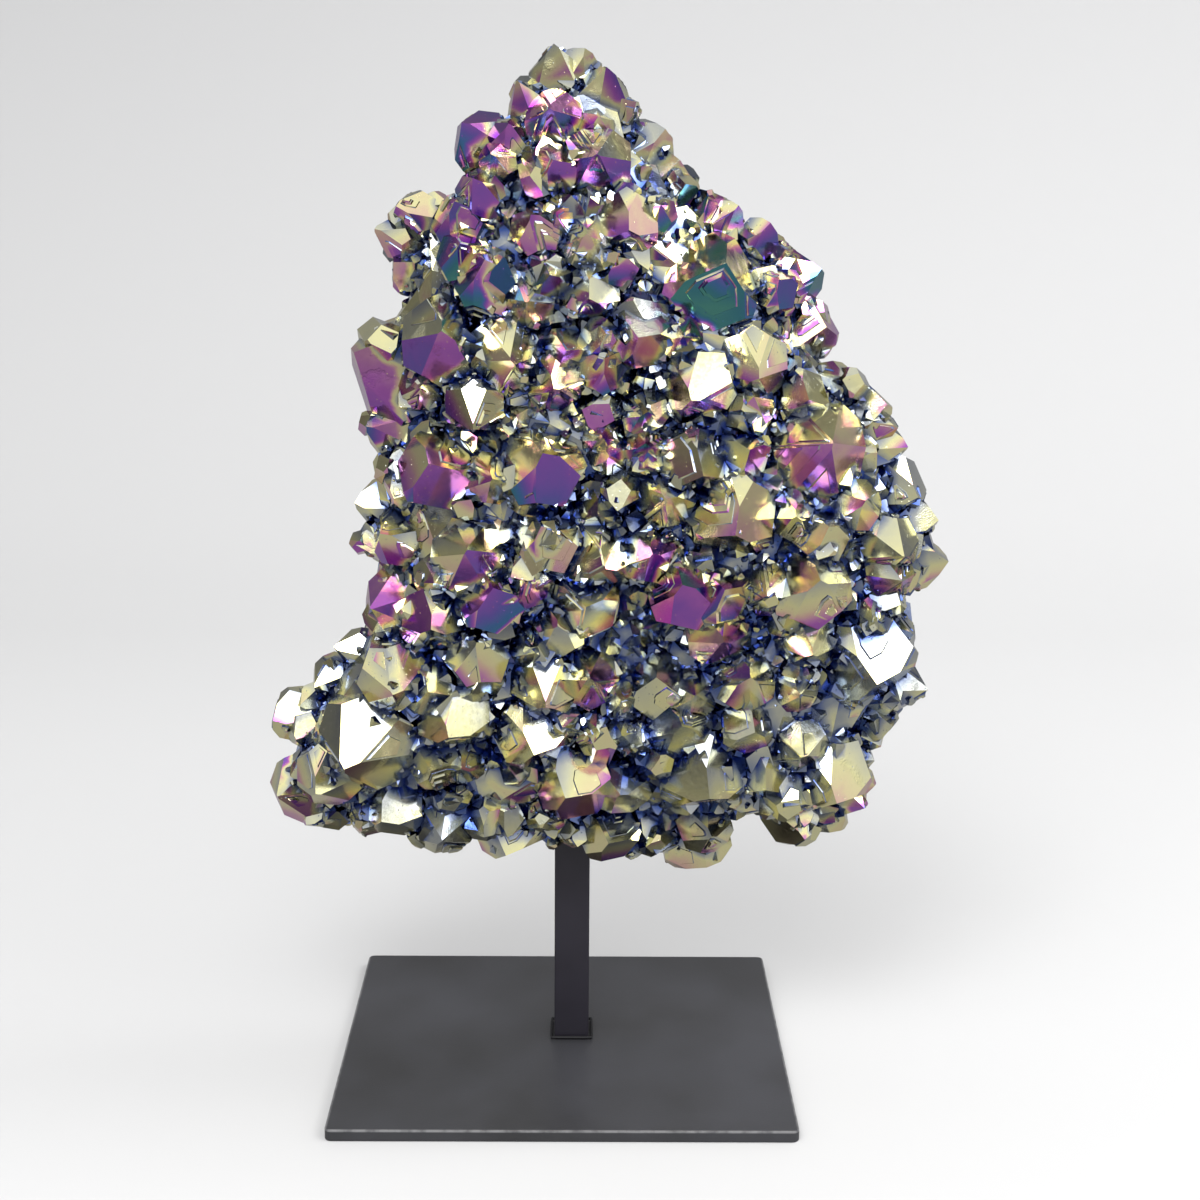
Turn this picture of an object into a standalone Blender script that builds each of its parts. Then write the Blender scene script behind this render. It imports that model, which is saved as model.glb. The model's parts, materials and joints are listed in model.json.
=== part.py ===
"""A coated amethyst cluster on a black steel stand.

The cluster is one natural piece: a slab of rock whose front and rim are covered with quartz
crystals that have grown into each other. A square post enters a hole drilled up into its lower
edge. The post stands on a flat plate, held by a bead of weld round its foot.

Metres, +Z up. The origin is the middle of the plate's underside, and the crystals face -Y.
Crystals are listed in millimetres and degrees, because those are the sizes a person measures.
"""

import math
import random

import bmesh
import bpy
from mathutils import Matrix, Vector, noise

MM = 0.001
FLAT = 1e-6

# The stand
PLATE_WIDTH = 0.152
PLATE_DEPTH = 0.127
PLATE_THICKNESS = 0.004
PLATE_CORNER_RADIUS = 0.0022
PLATE_EDGE_BEVEL = 0.0005
POST_SIDE = 0.012
POST_EDGE_BEVEL = 0.0005
POST_X = 0.0025
POST_Y = 0.0035
POST_TOP = 0.128
TOUCHING_GAP = 0.0003
WELD_RADIUS = 0.0005
WELD_RIPPLE = 0.3
WELD_RIPPLES_PER_SIDE = 3
WELD_POINTS_PER_SIDE = 6

# The rock slab seen from the front, in millimetres: its heart and the corners of its outline
HEART_X = 5
HEART_Z = 190
SLAB_OUTLINE = (
    (0, 327), (12, 319), (22, 311), (31, 300), (41, 288), (54, 277), (70, 268), (73, 252),
    (84, 236), (96, 218), (104, 204), (107, 190), (112, 176), (108, 160), (107, 142),
    (101, 124), (95, 106), (84, 93), (62, 88), (40, 84), (18, 86), (-8, 86), (-30, 84),
    (-52, 88), (-74, 92), (-90, 96), (-90, 112), (-80, 130), (-68, 143), (-62, 160),
    (-58, 178), (-56, 196), (-57, 214), (-61, 232), (-55, 250), (-47, 266), (-46, 282),
    (-32, 292), (-28, 306), (-15, 315),
)
SLAB_MARGIN = 2

# The slab is a cushion: its rim lies at one depth, and it swells from there to front and back.
# A higher fullness keeps it thick until nearer the rim.
SLAB_RIM_Y = 2
SLAB_FRONT_SWELL = 29
SLAB_BACK_SWELL = 15
FRONT_FULLNESS = 4
BACK_FULLNESS = 9
SLAB_FACES = 400
SLAB_RING_CROWDING = 0.8

# Places where the front is sunk: across, up, half-width and depth
HOLLOWS = (
    (-44, 230, 11, 5), (15, 233, 13, 6), (28, 156, 17, 7), (66, 158, 11, 5), (-62, 206, 10, 4),
    (-30, 108, 9, 4), (88, 150, 8, 4), (14, 270, 9, 3),
)

# Broken rock: lumps and grit all round, and larger lumps and stepped ledges on the back
ROCK_LUMP_SIZE = 26
ROCK_LUMP_HEIGHT = 3
ROCK_GRIT_SIZE = 8
ROCK_GRIT_HEIGHT = 1.4
BACK_LUMP_SIZE = 30
BACK_LUMP_HEIGHT = 7
BACK_LEDGE_SIZE = 55
BACK_LEDGES = 5
BACK_LEDGE_HEIGHT = 2.5
LEDGE_RAMP = (0.4, 0.6)

# Quartz: the faces of a crystal's point lean this far from its own axis. Three of them are
# broad and three are narrow, because they stand farther out. Offsets are shares of the girth.
POINT_FACE_ANGLE = math.radians(51.8)
BROAD_FACE_OFFSET = (-0.05, 0.08)
NARROW_FACE_OFFSET = (0.02, 0.38)

# A tip stands this far out of the slab, plus a share of the crystal's girth. Towards the rim
# the crystals fan outward and spread past the slab.
TIP_REACH = 3
TIP_REACH_PER_GIRTH = 0.8
RIM_FAN = 0.35
RIM_SPREAD = 4.5

# A crystal grows wider than it was read, until it runs into the ones round it
NEIGHBOURS = 5
LEAST_GROWTH = 1.2
MOST_GROWTH = 1.7
MEETING_OVERLAP = 1.35

# The root narrows and ends inside the slab, at this y
ROOT_TAPER = 0.82
ROOT_Y = 5
SHORTEST_ROOT = 1.6
STEEPEST_ROOT = 0.6
CRYSTAL_SEED = 7

# Points of the joined skin that lie closer than this are one point, in millimetres
SEAM_MERGE = 0.03

# The crystals that can be told apart on the front: the tip's place across and up from the
# origin, the girth (half the width), the lean to the right and upward from straight out, and
# the turn about the crystal's own axis. Millimetres and degrees.
CRYSTALS = (
    # The peak
    (-4, 334, 6.5, -5, 40, 10), (5, 333, 5, 25, 35, 40), (12, 327, 9.5, 20, 35, 15),
    (-15, 323, 6.5, -35, 30, 0), (-5, 316, 8.5, -5, 0, 0), (9, 314, 5.5, 5, 10, 20),
    (20, 317, 6, 38, 10, 50), (-31, 310, 8.5, -25, 8, 40), (-17, 311, 6.5, 0, 15, 20),
    (29, 309, 7, 35, 15, 10), (9, 304, 10, 0, -4, 0), (-4, 303, 6, -5, 5, 30),
    (-22, 303, 5, -10, 0, 10),
    # Below the peak
    (33, 300, 9.5, 32, 18, 0), (35, 294, 6, 12, -5, 30), (27, 291, 6.5, 3, 18, 80),
    (18, 284, 9, 0, -14, 0), (15, 276, 5, -2, 14, 30), (6, 283, 7.5, 0, 14, 0), (-3, 289, 5, 0, 5, 70),
    (-10, 288, 6, -8, 20, 45), (-27, 296, 7, -5, 14, 20), (-33, 289, 8, -2, 28, 30),
    (42, 291, 9, 5, 25, 40), (51, 287, 7.5, 30, 20, 10), (61, 282, 6, 25, 30, 0),
    (65, 274, 6.5, -2, 12, 30), (76, 269, 8, 32, 10, 20), (63, 267, 6.5, -4, 16, 50),
    (46, 273, 15.5, 4, 14, -16), (78, 251, 9, 14, -6, 10), (57, 241, 11, -3, -14, 0),
    (37, 235, 10.5, -14, -12, 20), (22, 253, 8, -6, 2, 40), (35, 253, 5, 0, 5, 0),
    (12, 254, 7, 0, 20, 30), (7, 265, 8.5, 0, -4, 0), (-5, 271, 6, 5, 0, 20), (-12, 263, 7, 0, 0, 55),
    (-24, 274, 8.5, 2, 28, 25),
    # The left shoulder
    (-50, 286, 7.5, -28, 8, 10), (-57, 279, 5, -48, 5, 30), (-50, 278, 7.5, -20, 4, 0),
    (-51, 269, 6, -22, 0, 40), (-31, 278, 7, 2, 14, 30), (-36, 254, 10.5, 6, 8, 0),
    (-16, 246, 11.5, 10, -5, 10), (0, 249, 6.5, 0, 4, 35), (-4, 238, 8.5, -2, -4, 15),
    (12, 247, 8, 5, 20, 60), (-61, 243, 15.5, -26, 10, -49), (-59, 221, 7, -26, 2, 30),
    (-43, 237, 5.5, 10, 5, 20), (-28, 225, 6.5, 2, -30, 0), (-41, 214, 11, 0, 12, 20),
    (-7, 219, 12, 2, 26, 30), (11, 222, 6, 0, 10, 0),
    # The waist, left to right
    (-22, 210, 6, 6, 8, 20), (-54, 210, 5.5, -25, 8, 0), (-51, 201, 6, -4, -12, 40),
    (-10, 206, 6, 0, 8, 0), (-64, 196, 6, -45, 8, 10), (-55, 190, 8, -12, 20, 30),
    (-63, 183, 5, -45, 0, 0), (-30, 188, 10.5, 2, 18, 0), (-7, 196, 8, -6, 30, 30),
    (12, 183, 10, 8, -2, 10), (-12, 178, 7, 0, 10, 45), (-22, 176, 10.5, 6, 30, 20),
    (-40, 177, 6.5, 4, 6, 10), (-41, 163, 9, 2, 2, 0), (-58, 168, 11.5, -14, 16, 30),
    (-27, 159, 7.5, 2, 34, 40), (-2, 164, 6.5, 2, 22, 0), (-9, 155, 6, 0, 8, 20),
    (6, 171, 8, 0, 10, 50), (8, 230, 5.5, -4, 8, 15), (15, 229, 5, 4, 8, 45), (25, 230, 6.5, 0, 12, 0),
    (24, 221, 6.5, -2, 14, 0), (13, 217, 5.5, 0, 8, 30), (42, 212, 11.5, 8, -10, 10),
    (56, 219, 6, 4, 12, 50), (80, 221, 17, -2, 8, 58), (73, 233, 8, -2, -6, 10),
    (85, 236, 7, 6, 10, 30), (56, 235, 7.5, 0, 20, 10), (16, 203, 5, 8, 0, 0), (25, 214, 5.5, 0, -6, 0),
    (31, 205, 9, -2, 10, 40), (10, 199, 5, 0, 0, 0), (51, 195, 14, -4, -10, -9), (51, 207, 7, 2, 4, 30),
    (27, 188, 7.5, 0, 12, 20),
    # The right flank
    (36, 178, 12, -8, 20, 20), (49, 176, 9, 4, 18, 40), (50, 159, 7.5, 4, 4, 10),
    (63, 174, 8, -8, 4, 40), (71, 198, 5, -4, 10, 0), (81, 195, 8, 0, 26, 35),
    (78, 180, 11, -2, 22, 10), (70, 166, 5.5, -8, 10, 20), (77, 154, 8, -6, -4, 0),
    (98, 228, 6, 18, 12, 20), (101, 221, 6.5, 28, 4, 40), (105, 215, 5, 40, 0, 0),
    (108, 200, 12, 8, -4, 10), (91, 202, 6, -4, 16, 30), (104, 184, 10.5, 0, -2, 20),
    (104, 176, 8.5, 0, 2, 0), (116, 192, 5.5, 38, 8, 10), (120, 179, 6.5, 40, 10, 40),
    (104, 168, 5.5, 10, 4, 0), (96, 162, 6, -6, 8, 0), (97, 145, 16, -8, -6, 39),
    (109, 156, 5.5, 12, 20, 30), (106, 135, 8, 4, 10, 20), (116, 137, 6, 32, 12, 0),
    (105, 125, 9, 20, 10, 45),
    # The broad foot, left to right
    (-72, 150, 5, -45, 25, 0), (-79, 137, 6, -14, 6, 20), (-53, 142, 8.5, 6, -2, 40),
    (-43, 142, 7.5, 0, 10, 15), (-36, 128, 13, 0, -8, 16), (-27, 145, 5, 0, 12, 30),
    (-68, 118, 17, -8, -2, 47), (-93, 126, 8, -22, 18, 20), (-84, 130, 6.5, 0, 22, 0),
    (-85, 121, 6, 4, 6, 40), (-79, 107, 11, -2, 2, 10), (-92, 101, 10.5, -10, 20, 0),
    (-84, 89, 5, -5, -5, 20), (-78, 90, 6, 0, 2, 0), (-65, 92, 5.5, 0, 4, 30),
    (-58, 97, 7.5, -8, 10, 10), (-39, 91, 12.5, 8, 8, 20), (-38, 103, 5, 0, 14, 30),
    (-42, 116, 8, 2, 10, 40), (-33, 115, 6.5, 4, 10, 0), (-19, 84, 14, 2, -6, 30),
    (-26, 90, 5.5, 0, -22, 0), (-18, 90, 5.5, 4, -22, 30), (-10, 122, 11.5, 4, -8, 30),
    (-6, 138, 12, 0, -10, 0), (-1, 130, 5, 0, 6, 30), (8, 147, 7, 2, 16, 0), (11, 128, 6.5, 0, 16, 30),
    (18, 139, 5.5, 0, 16, 45), (18, 127, 5, -2, 16, 10), (25, 124, 5, 6, 12, 0),
    (29, 146, 8, -8, 30, 0), (41, 141, 6.5, 4, 18, 30), (37, 132, 10.5, 0, 18, 15),
    (31, 118, 6.5, 0, 10, 40), (18, 108, 9, -2, 10, 20), (46, 108, 15, 0, -4, 5),
    (0, 108, 13.5, -10, 6, 30), (-6, 96, 5, 0, 18, 0), (-5, 83, 5.5, 0, -14, 10),
    (4, 86, 6, 4, -14, 40), (14, 90, 9, -2, 20, 30), (30, 84, 7.5, 0, -5, 40), (47, 92, 6.5, 0, 20, 20),
    (46, 78, 9, 6, -6, 10), (58, 147, 7, 0, 22, 0), (77, 147, 5, 4, 16, 10), (74, 141, 5, -4, 12, 40),
    (60, 129, 6, 6, 12, 0), (76, 120, 6.5, -6, 4, 30), (64, 109, 7.5, -6, 0, 0),
    (86, 105, 14, -8, -6, 20), (71, 103, 10, -10, 6, 20), (100, 113, 5.5, 25, 18, 0),
    (101, 104, 6, 28, 20, 30), (98, 96, 6, 22, 2, 10), (88, 91, 6, 6, 0, 0), (78, 86, 8, 0, -4, 40),
    (22, 78, 5, -10, -20, 0),
)

# Colour, roughness and metallic value
BLACK_STEEL = ((0.012, 0.012, 0.014), 0.45, 0.6)
COATED_QUARTZ = ((0.35, 0.30, 0.14), 0.18, 0.95)


def clear_scene():
    for old in list(bpy.data.objects):
        bpy.data.objects.remove(old, do_unlink=True)


def collection_named(name):
    made = bpy.data.collections.new(name)
    bpy.context.scene.collection.children.link(made)
    return made


def finish_of(name, colour, roughness, metallic):
    material = bpy.data.materials.new(name)
    material.use_nodes = True
    shader = material.node_tree.nodes["Principled BSDF"]
    shader.inputs["Base Color"].default_value = (*colour, 1.0)
    shader.inputs["Roughness"].default_value = roughness
    shader.inputs["Metallic"].default_value = metallic
    return material


def object_from(bm, name, collection, material=None):
    mesh = bpy.data.meshes.new(name)
    bm.to_mesh(mesh)
    bm.free()
    made = bpy.data.objects.new(name, mesh)
    collection.objects.link(made)
    if material:
        mesh.materials.append(material)
    return made


def box_object(name, collection, size, centre, material=None):
    bm = bmesh.new()
    bmesh.ops.create_cube(bm, size=1.0)
    bmesh.ops.scale(bm, vec=size, verts=bm.verts)
    made = object_from(bm, name, collection, material)
    made.location = centre
    return made


def soften_edges(obj, width):
    bevel = obj.modifiers.new("softened edges", "BEVEL")
    bevel.width = width
    bevel.segments = 2
    bevel.limit_method = "ANGLE"


def is_upright(edge):
    first, second = edge.verts
    return abs(first.co.x - second.co.x) + abs(first.co.y - second.co.y) < FLAT


def round_upright_corners(plate):
    bm = bmesh.new()
    bm.from_mesh(plate.data)
    corners = [edge for edge in bm.edges if is_upright(edge)]
    bmesh.ops.bevel(
        bm, geom=corners, offset=PLATE_CORNER_RADIUS, segments=4, profile=0.5, affect="EDGES",
    )
    bm.to_mesh(plate.data)
    bm.free()


def base_plate(collection, steel):
    size = (PLATE_WIDTH, PLATE_DEPTH, PLATE_THICKNESS)
    plate = box_object("base_plate", collection, size, (0, 0, PLATE_THICKNESS / 2), steel)
    round_upright_corners(plate)
    soften_edges(plate, PLATE_EDGE_BEVEL)


def post(collection, steel):
    foot = PLATE_THICKNESS + TOUCHING_GAP
    size = (POST_SIDE, POST_SIDE, POST_TOP - foot)
    bar = box_object("post", collection, size, (POST_X, POST_Y, (POST_TOP + foot) / 2), steel)
    soften_edges(bar, POST_EDGE_BEVEL)


def weld_bead(collection, steel):
    """A rippled bead of weld that runs once round the post's foot."""
    fattest = WELD_RADIUS * (1 + WELD_RIPPLE)
    reach = POST_SIDE / 2 + TOUCHING_GAP + fattest
    height = PLATE_THICKNESS + TOUCHING_GAP + fattest
    curve = bpy.data.curves.new("weld_bead", "CURVE")
    curve.dimensions = "3D"
    curve.bevel_depth = WELD_RADIUS
    curve.bevel_resolution = 1
    spline = curve.splines.new("POLY")
    spline.points.add(4 * WELD_POINTS_PER_SIDE - 1)
    corners = [Vector((sx * reach, sy * reach, 0)) for sx, sy in ((-1, -1), (1, -1), (1, 1), (-1, 1))]
    for side in range(4):
        start, end = corners[side], corners[(side + 1) % 4]
        for step in range(WELD_POINTS_PER_SIDE):
            share = step / WELD_POINTS_PER_SIDE
            at = start.lerp(end, share) + Vector((POST_X, POST_Y, height))
            point = spline.points[side * WELD_POINTS_PER_SIDE + step]
            point.co = (*at, 1)
            point.radius = 1 + WELD_RIPPLE * math.sin(2 * math.pi * WELD_RIPPLES_PER_SIDE * share)
    spline.use_cyclic_u = True
    curve.materials.append(steel)
    collection.objects.link(bpy.data.objects.new("weld_bead", curve))


def slab_reach(angle):
    """How far the slab's outline lies from its heart in this direction, in millimetres."""
    way = Vector((math.cos(angle), math.sin(angle)))
    heart = Vector((HEART_X, HEART_Z))
    corners = [Vector(corner) - heart for corner in SLAB_OUTLINE]
    farthest = 0.0
    for first, second in zip(corners, corners[1:] + corners[:1]):
        side = second - first
        spread = way.cross(side)
        if abs(spread) < FLAT:
            continue
        along = first.cross(side) / spread
        share = first.cross(way) / spread
        if along > 0 and -FLAT <= share <= 1 + FLAT:
            farthest = max(farthest, along)
    return farthest + SLAB_MARGIN


def rim_share(x, z):
    """0 at the slab's heart and 1 on its outline."""
    across, up = x - HEART_X, z - HEART_Z
    return math.hypot(across, up) / slab_reach(math.atan2(up, across))


def swell(share, fullness):
    """How full a cushion still is at this share of the way from its heart to its rim."""
    return math.sqrt(max(0.0, 1 - min(share, 1.0) ** fullness))


def sunk(x, z):
    """How far the slab's front is sunk at this place by the hollows between the crystals."""
    return sum(
        depth * math.exp(-((x - across) ** 2 + (z - up) ** 2) / width ** 2)
        for across, up, width, depth in HOLLOWS
    )


def front_y(x, z):
    """The slab front's y at this place, in millimetres."""
    return SLAB_RIM_Y + sunk(x, z) - SLAB_FRONT_SWELL * swell(rim_share(x, z), FRONT_FULLNESS)


def ledge_level(height):
    """Turns a smooth height into flat levels with a short ramp between each two."""
    start, end = LEDGE_RAMP
    ramp = min(1.0, max(0.0, (height % 1.0 - start) / (end - start)))
    return math.floor(height) + ramp


def back_y(x, z):
    """The slab back's y: broken rock with rounded lumps and stepped ledges."""
    lumps = BACK_LUMP_HEIGHT * noise.noise(Vector((x, z, 0)) / BACK_LUMP_SIZE)
    steps = BACK_LEDGES * noise.noise(Vector((z, x, 0)) / BACK_LEDGE_SIZE)
    swollen = SLAB_BACK_SWELL + lumps + BACK_LEDGE_HEIGHT * ledge_level(steps)
    return SLAB_RIM_Y + swollen * swell(rim_share(x, z), BACK_FULLNESS)


def rock_slab(collection, stone):
    """A cushion of rock in the slab's outline, broken and lumpy, thinned to a few faces."""
    bm = bmesh.new()
    bmesh.ops.create_icosphere(bm, subdivisions=5, radius=1.0)
    for vert in bm.verts:
        across, deep, up = vert.co
        angle = math.atan2(up, across)
        share = min(1.0, math.hypot(across, up)) ** SLAB_RING_CROWDING
        reach = share * slab_reach(angle)
        x = HEART_X + reach * math.cos(angle)
        z = HEART_Z + reach * math.sin(angle)
        at = Vector((x, front_y(x, z) if deep < 0 else back_y(x, z), z))
        lumps = ROCK_LUMP_HEIGHT * noise.noise(at / ROCK_LUMP_SIZE)
        grit = ROCK_GRIT_HEIGHT * noise.noise(at / ROCK_GRIT_SIZE)
        vert.co = (at + (lumps + grit) * vert.co.normalized()) * MM
    slab = object_from(bm, "rock_slab", collection, stone)
    thin = slab.modifiers.new("fewer faces", "DECIMATE")
    thin.ratio = SLAB_FACES / len(slab.data.polygons)
    return slab


def crystal_frame(x, z, girth, lean_right, lean_up, turn):
    """Where a crystal stands: its tip, its root and its turn, as one transform and a length."""
    right, up = math.radians(lean_right), math.radians(lean_up)
    axis = Vector((math.sin(right) * math.cos(up), -math.cos(right) * math.cos(up), math.sin(up)))
    outward = Vector((x - HEART_X, 0, z - HEART_Z)).normalized()
    share = min(1.0, rim_share(x, z))
    axis = (axis + RIM_FAN * share ** 3 * outward).normalized()
    tip = Vector((x, front_y(x, z) - TIP_REACH - TIP_REACH_PER_GIRTH * girth, z))
    tip += RIM_SPREAD * share ** 6 * outward
    length = max(SHORTEST_ROOT * girth, (ROOT_Y - tip.y) / max(-axis.y, STEEPEST_ROOT))
    upright = axis.to_track_quat("Z", "Y").to_matrix().to_4x4()
    twist = Matrix.Rotation(math.radians(turn), 4, "Z")
    return Matrix.Translation(tip * MM) @ upright @ twist @ Matrix.Scale(MM, 4), length


def cut_point(bm, girth, chance):
    """Cuts a prism to a point: three broad sloping faces, and three narrow ones between them."""
    narrowing = chance.uniform(*NARROW_FACE_OFFSET)
    slope = math.sin(POINT_FACE_ANGLE)
    for side in range(6):
        bearing = math.radians(60 * side + 30)
        outward = (slope * math.cos(bearing), slope * math.sin(bearing), math.cos(POINT_FACE_ANGLE))
        offset = chance.uniform(*BROAD_FACE_OFFSET) + (side % 2) * narrowing
        cut = bmesh.ops.bisect_plane(
            bm, geom=bm.verts[:] + bm.edges[:] + bm.faces[:], clear_outer=True,
            plane_co=(0, 0, offset * girth), plane_no=outward,
        )
        rim = [piece for piece in cut["geom_cut"] if isinstance(piece, bmesh.types.BMEdge)]
        if rim:
            bmesh.ops.edgenet_fill(bm, edges=rim)


def grown_girth(row):
    """A crystal has widened until it meets its neighbours, as far as it had room to."""
    x, z, girth = row[:3]
    others = [(math.hypot(x - other[0], z - other[1]), other[2]) for other in CRYSTALS if other is not row]
    nearest = sorted(others)[:NEIGHBOURS]
    room = sum(distance / (girth + their_girth) for distance, their_girth in nearest) / NEIGHBOURS
    return girth * min(MOST_GROWTH, max(LEAST_GROWTH, room * MEETING_OVERLAP))


def crystal(collection, index, row, chance):
    """One quartz crystal: a six-sided prism, rooted in the slab and cut to a point."""
    x, z, _, *lean_and_turn = row
    girth = grown_girth(row)
    place, length = crystal_frame(x, z, girth, *lean_and_turn)
    spare = girth
    bm = bmesh.new()
    bmesh.ops.create_cone(
        bm, cap_ends=True, segments=6, radius1=girth * ROOT_TAPER, radius2=girth, depth=length + spare,
    )
    bmesh.ops.translate(bm, vec=(0, 0, (spare - length) / 2), verts=bm.verts)
    cut_point(bm, girth, chance)
    bmesh.ops.recalc_face_normals(bm, faces=bm.faces)
    bmesh.ops.transform(bm, matrix=place, verts=bm.verts)
    return object_from(bm, f"crystal_{index:03d}", collection)


def evaluated_mesh(obj):
    """The object's mesh as its modifiers leave it."""
    bpy.context.view_layer.update()
    return bpy.data.meshes.new_from_object(obj.evaluated_get(bpy.context.evaluated_depsgraph_get()))


def close_pockets(bm):
    """Keeps the outer skin and drops the skins of pockets that the crystals have sealed off."""
    unseen = set(bm.verts)
    skins = []
    while unseen:
        skin = {unseen.pop()}
        waiting = list(skin)
        while waiting:
            vert = waiting.pop()
            near = {edge.other_vert(vert) for edge in vert.link_edges} & unseen
            unseen -= near
            skin |= near
            waiting.extend(near)
        skins.append(skin)
    outer = max(skins, key=len)
    pockets = [vert for skin in skins if skin is not outer for vert in skin]
    bmesh.ops.delete(bm, geom=pockets, context="VERTS")


def amethyst_cluster(collection, quartz):
    """The slab and all its crystals, grown together as one solid."""
    growth = collection_named("crystals_to_join")
    chance = random.Random(CRYSTAL_SEED)
    for index, row in enumerate(CRYSTALS):
        crystal(growth, index, row, chance)
    slab = rock_slab(collection, quartz)
    join = slab.modifiers.new("grown together", "BOOLEAN")
    join.operation = "UNION"
    join.operand_type = "COLLECTION"
    join.collection = growth
    bm = bmesh.new()
    bm.from_mesh(evaluated_mesh(slab))
    close_pockets(bm)
    bmesh.ops.remove_doubles(bm, verts=bm.verts, dist=SEAM_MERGE * MM)
    for single in [slab, *growth.objects]:
        bpy.data.objects.remove(single, do_unlink=True)
    bpy.data.collections.remove(growth)
    return object_from(bm, "amethyst_cluster", collection, quartz)


def drill_for_post(cluster, cutters):
    """A square hole in the underside, a little wider and deeper than the post."""
    side = POST_SIDE + 2 * TOUCHING_GAP
    bottom, top = PLATE_THICKNESS, POST_TOP + TOUCHING_GAP
    middle = (POST_X, POST_Y, (top + bottom) / 2)
    drill = box_object("post_hole", cutters, (side, side, top - bottom), middle)
    drill.hide_render = True
    drill.display_type = "WIRE"
    hole = cluster.modifiers.new("hole for the post", "BOOLEAN")
    hole.operation = "DIFFERENCE"
    hole.object = drill


def main():
    clear_scene()
    parts = collection_named("amethyst_on_stand")
    cutters = collection_named("cutters")
    steel = finish_of("black_steel", *BLACK_STEEL)
    quartz = finish_of("coated_quartz", *COATED_QUARTZ)
    base_plate(parts, steel)
    post(parts, steel)
    weld_bead(parts, steel)
    cluster = amethyst_cluster(parts, quartz)
    drill_for_post(cluster, cutters)


main()
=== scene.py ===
# %% [markdown]
# # A rainbow-coated amethyst cluster on its stand
#
# The real thing is a plate of amethyst: hundreds of stubby quartz points that grew out of one
# piece of rock. After it was dug up it was coated, in a vacuum, with a film of metal oxide that
# is thinner than a wavelength of light. The film is what gives it gold, magenta, violet and teal
# faces with blue lines between them. It stands on a square bar and a steel plate.
#
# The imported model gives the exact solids. This lesson dresses them: it adds the small crystals
# and growth steps that the solids leave out, works out where the film lies thick and thin, and
# then makes the materials and the light.

import json
import math
import random

import bmesh
import bpy
import numpy as np
from mathutils import Matrix, Vector, noise

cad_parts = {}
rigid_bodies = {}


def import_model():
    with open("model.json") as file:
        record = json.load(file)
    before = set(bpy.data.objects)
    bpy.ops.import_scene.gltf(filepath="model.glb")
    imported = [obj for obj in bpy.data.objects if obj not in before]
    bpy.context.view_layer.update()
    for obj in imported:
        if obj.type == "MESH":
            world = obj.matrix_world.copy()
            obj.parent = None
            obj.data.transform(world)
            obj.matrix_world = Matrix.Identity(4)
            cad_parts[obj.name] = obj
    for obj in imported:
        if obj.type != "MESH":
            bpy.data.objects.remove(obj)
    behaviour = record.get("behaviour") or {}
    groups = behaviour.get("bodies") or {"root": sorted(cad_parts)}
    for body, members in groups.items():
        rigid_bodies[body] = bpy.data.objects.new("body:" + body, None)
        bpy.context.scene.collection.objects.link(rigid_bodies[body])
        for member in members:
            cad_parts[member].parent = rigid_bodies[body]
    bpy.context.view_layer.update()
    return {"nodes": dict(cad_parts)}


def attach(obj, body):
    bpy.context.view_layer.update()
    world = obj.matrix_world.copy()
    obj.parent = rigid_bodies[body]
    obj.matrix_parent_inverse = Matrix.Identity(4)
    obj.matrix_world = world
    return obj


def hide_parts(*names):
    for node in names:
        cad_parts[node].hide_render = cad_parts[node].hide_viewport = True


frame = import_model()
nodes = frame["nodes"]
scene = bpy.context.scene
MM = 0.001


# %% [markdown]
# ## Camera
#
# The camera stands a little above the middle of the stone, nearly straight in front of it. The
# plate's corners, as the photograph shows them, give its height, its distance and its tilt.

# %% Camera
CAMERA_PLACE = (0.0053, -0.5773, 0.3112)
CAMERA_PITCH = 14.43
CAMERA_YAW = -0.59
CAMERA_ROLL = 0.5
LENS_MM = 54
SENSOR_MM = 36

lens = bpy.data.cameras.new("camera")
lens.lens = LENS_MM
lens.sensor_width = SENSOR_MM
lens.clip_start = 0.01
camera = bpy.data.objects.new("camera", lens)
scene.collection.objects.link(camera)
turn = Matrix.Rotation(math.radians(CAMERA_YAW), 4, "Z")
tip_down = Matrix.Rotation(math.radians(90 - CAMERA_PITCH), 4, "X")
roll = Matrix.Rotation(math.radians(CAMERA_ROLL), 4, "Z")
camera.matrix_world = Matrix.Translation(CAMERA_PLACE) @ turn @ tip_down @ roll
scene.camera = camera
print("camera at", CAMERA_PLACE, "looks down by", CAMERA_PITCH, "degrees")


# %% [markdown]
# ## Building node trees by hand
#
# Three short helpers keep the trees readable: one makes an empty tree with named inputs, one
# adds a node and fills its sockets, and one runs a finished tree on an object and hands back a
# plain mesh. A socket is filled with a value, or with another node's output.

# %% Helpers for node trees
def new_tree(name, kind, inputs, outputs):
    tree = bpy.data.node_groups.new(name, kind)
    for label, socket_type, value in inputs:
        socket = tree.interface.new_socket(label, in_out="INPUT", socket_type=socket_type)
        if value is not None:
            socket.default_value = value
    for label, socket_type in outputs:
        tree.interface.new_socket(label, in_out="OUTPUT", socket_type=socket_type)
    return tree, tree.nodes.new("NodeGroupInput"), tree.nodes.new("NodeGroupOutput")


def add(tree, kind, fill=(), **settings):
    """Adds a node. Settings come first, because they decide which sockets it has."""
    node = tree.nodes.new(kind)
    for setting, value in settings.items():
        setattr(node, setting, value)
    for key, value in dict(fill).items():
        if isinstance(value, bpy.types.NodeSocket):
            tree.links.new(value, node.inputs[key])
        else:
            node.inputs[key].default_value = value
    return node


def maths(tree, operation, *values):
    return add(tree, "ShaderNodeMath", enumerate(values), operation=operation).outputs[0]


def vector_maths(tree, operation, *values):
    node = add(tree, "ShaderNodeVectorMath", enumerate(values), operation=operation)
    return node.outputs["Value" if operation in {"DOT_PRODUCT", "LENGTH"} else "Vector"]


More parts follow.
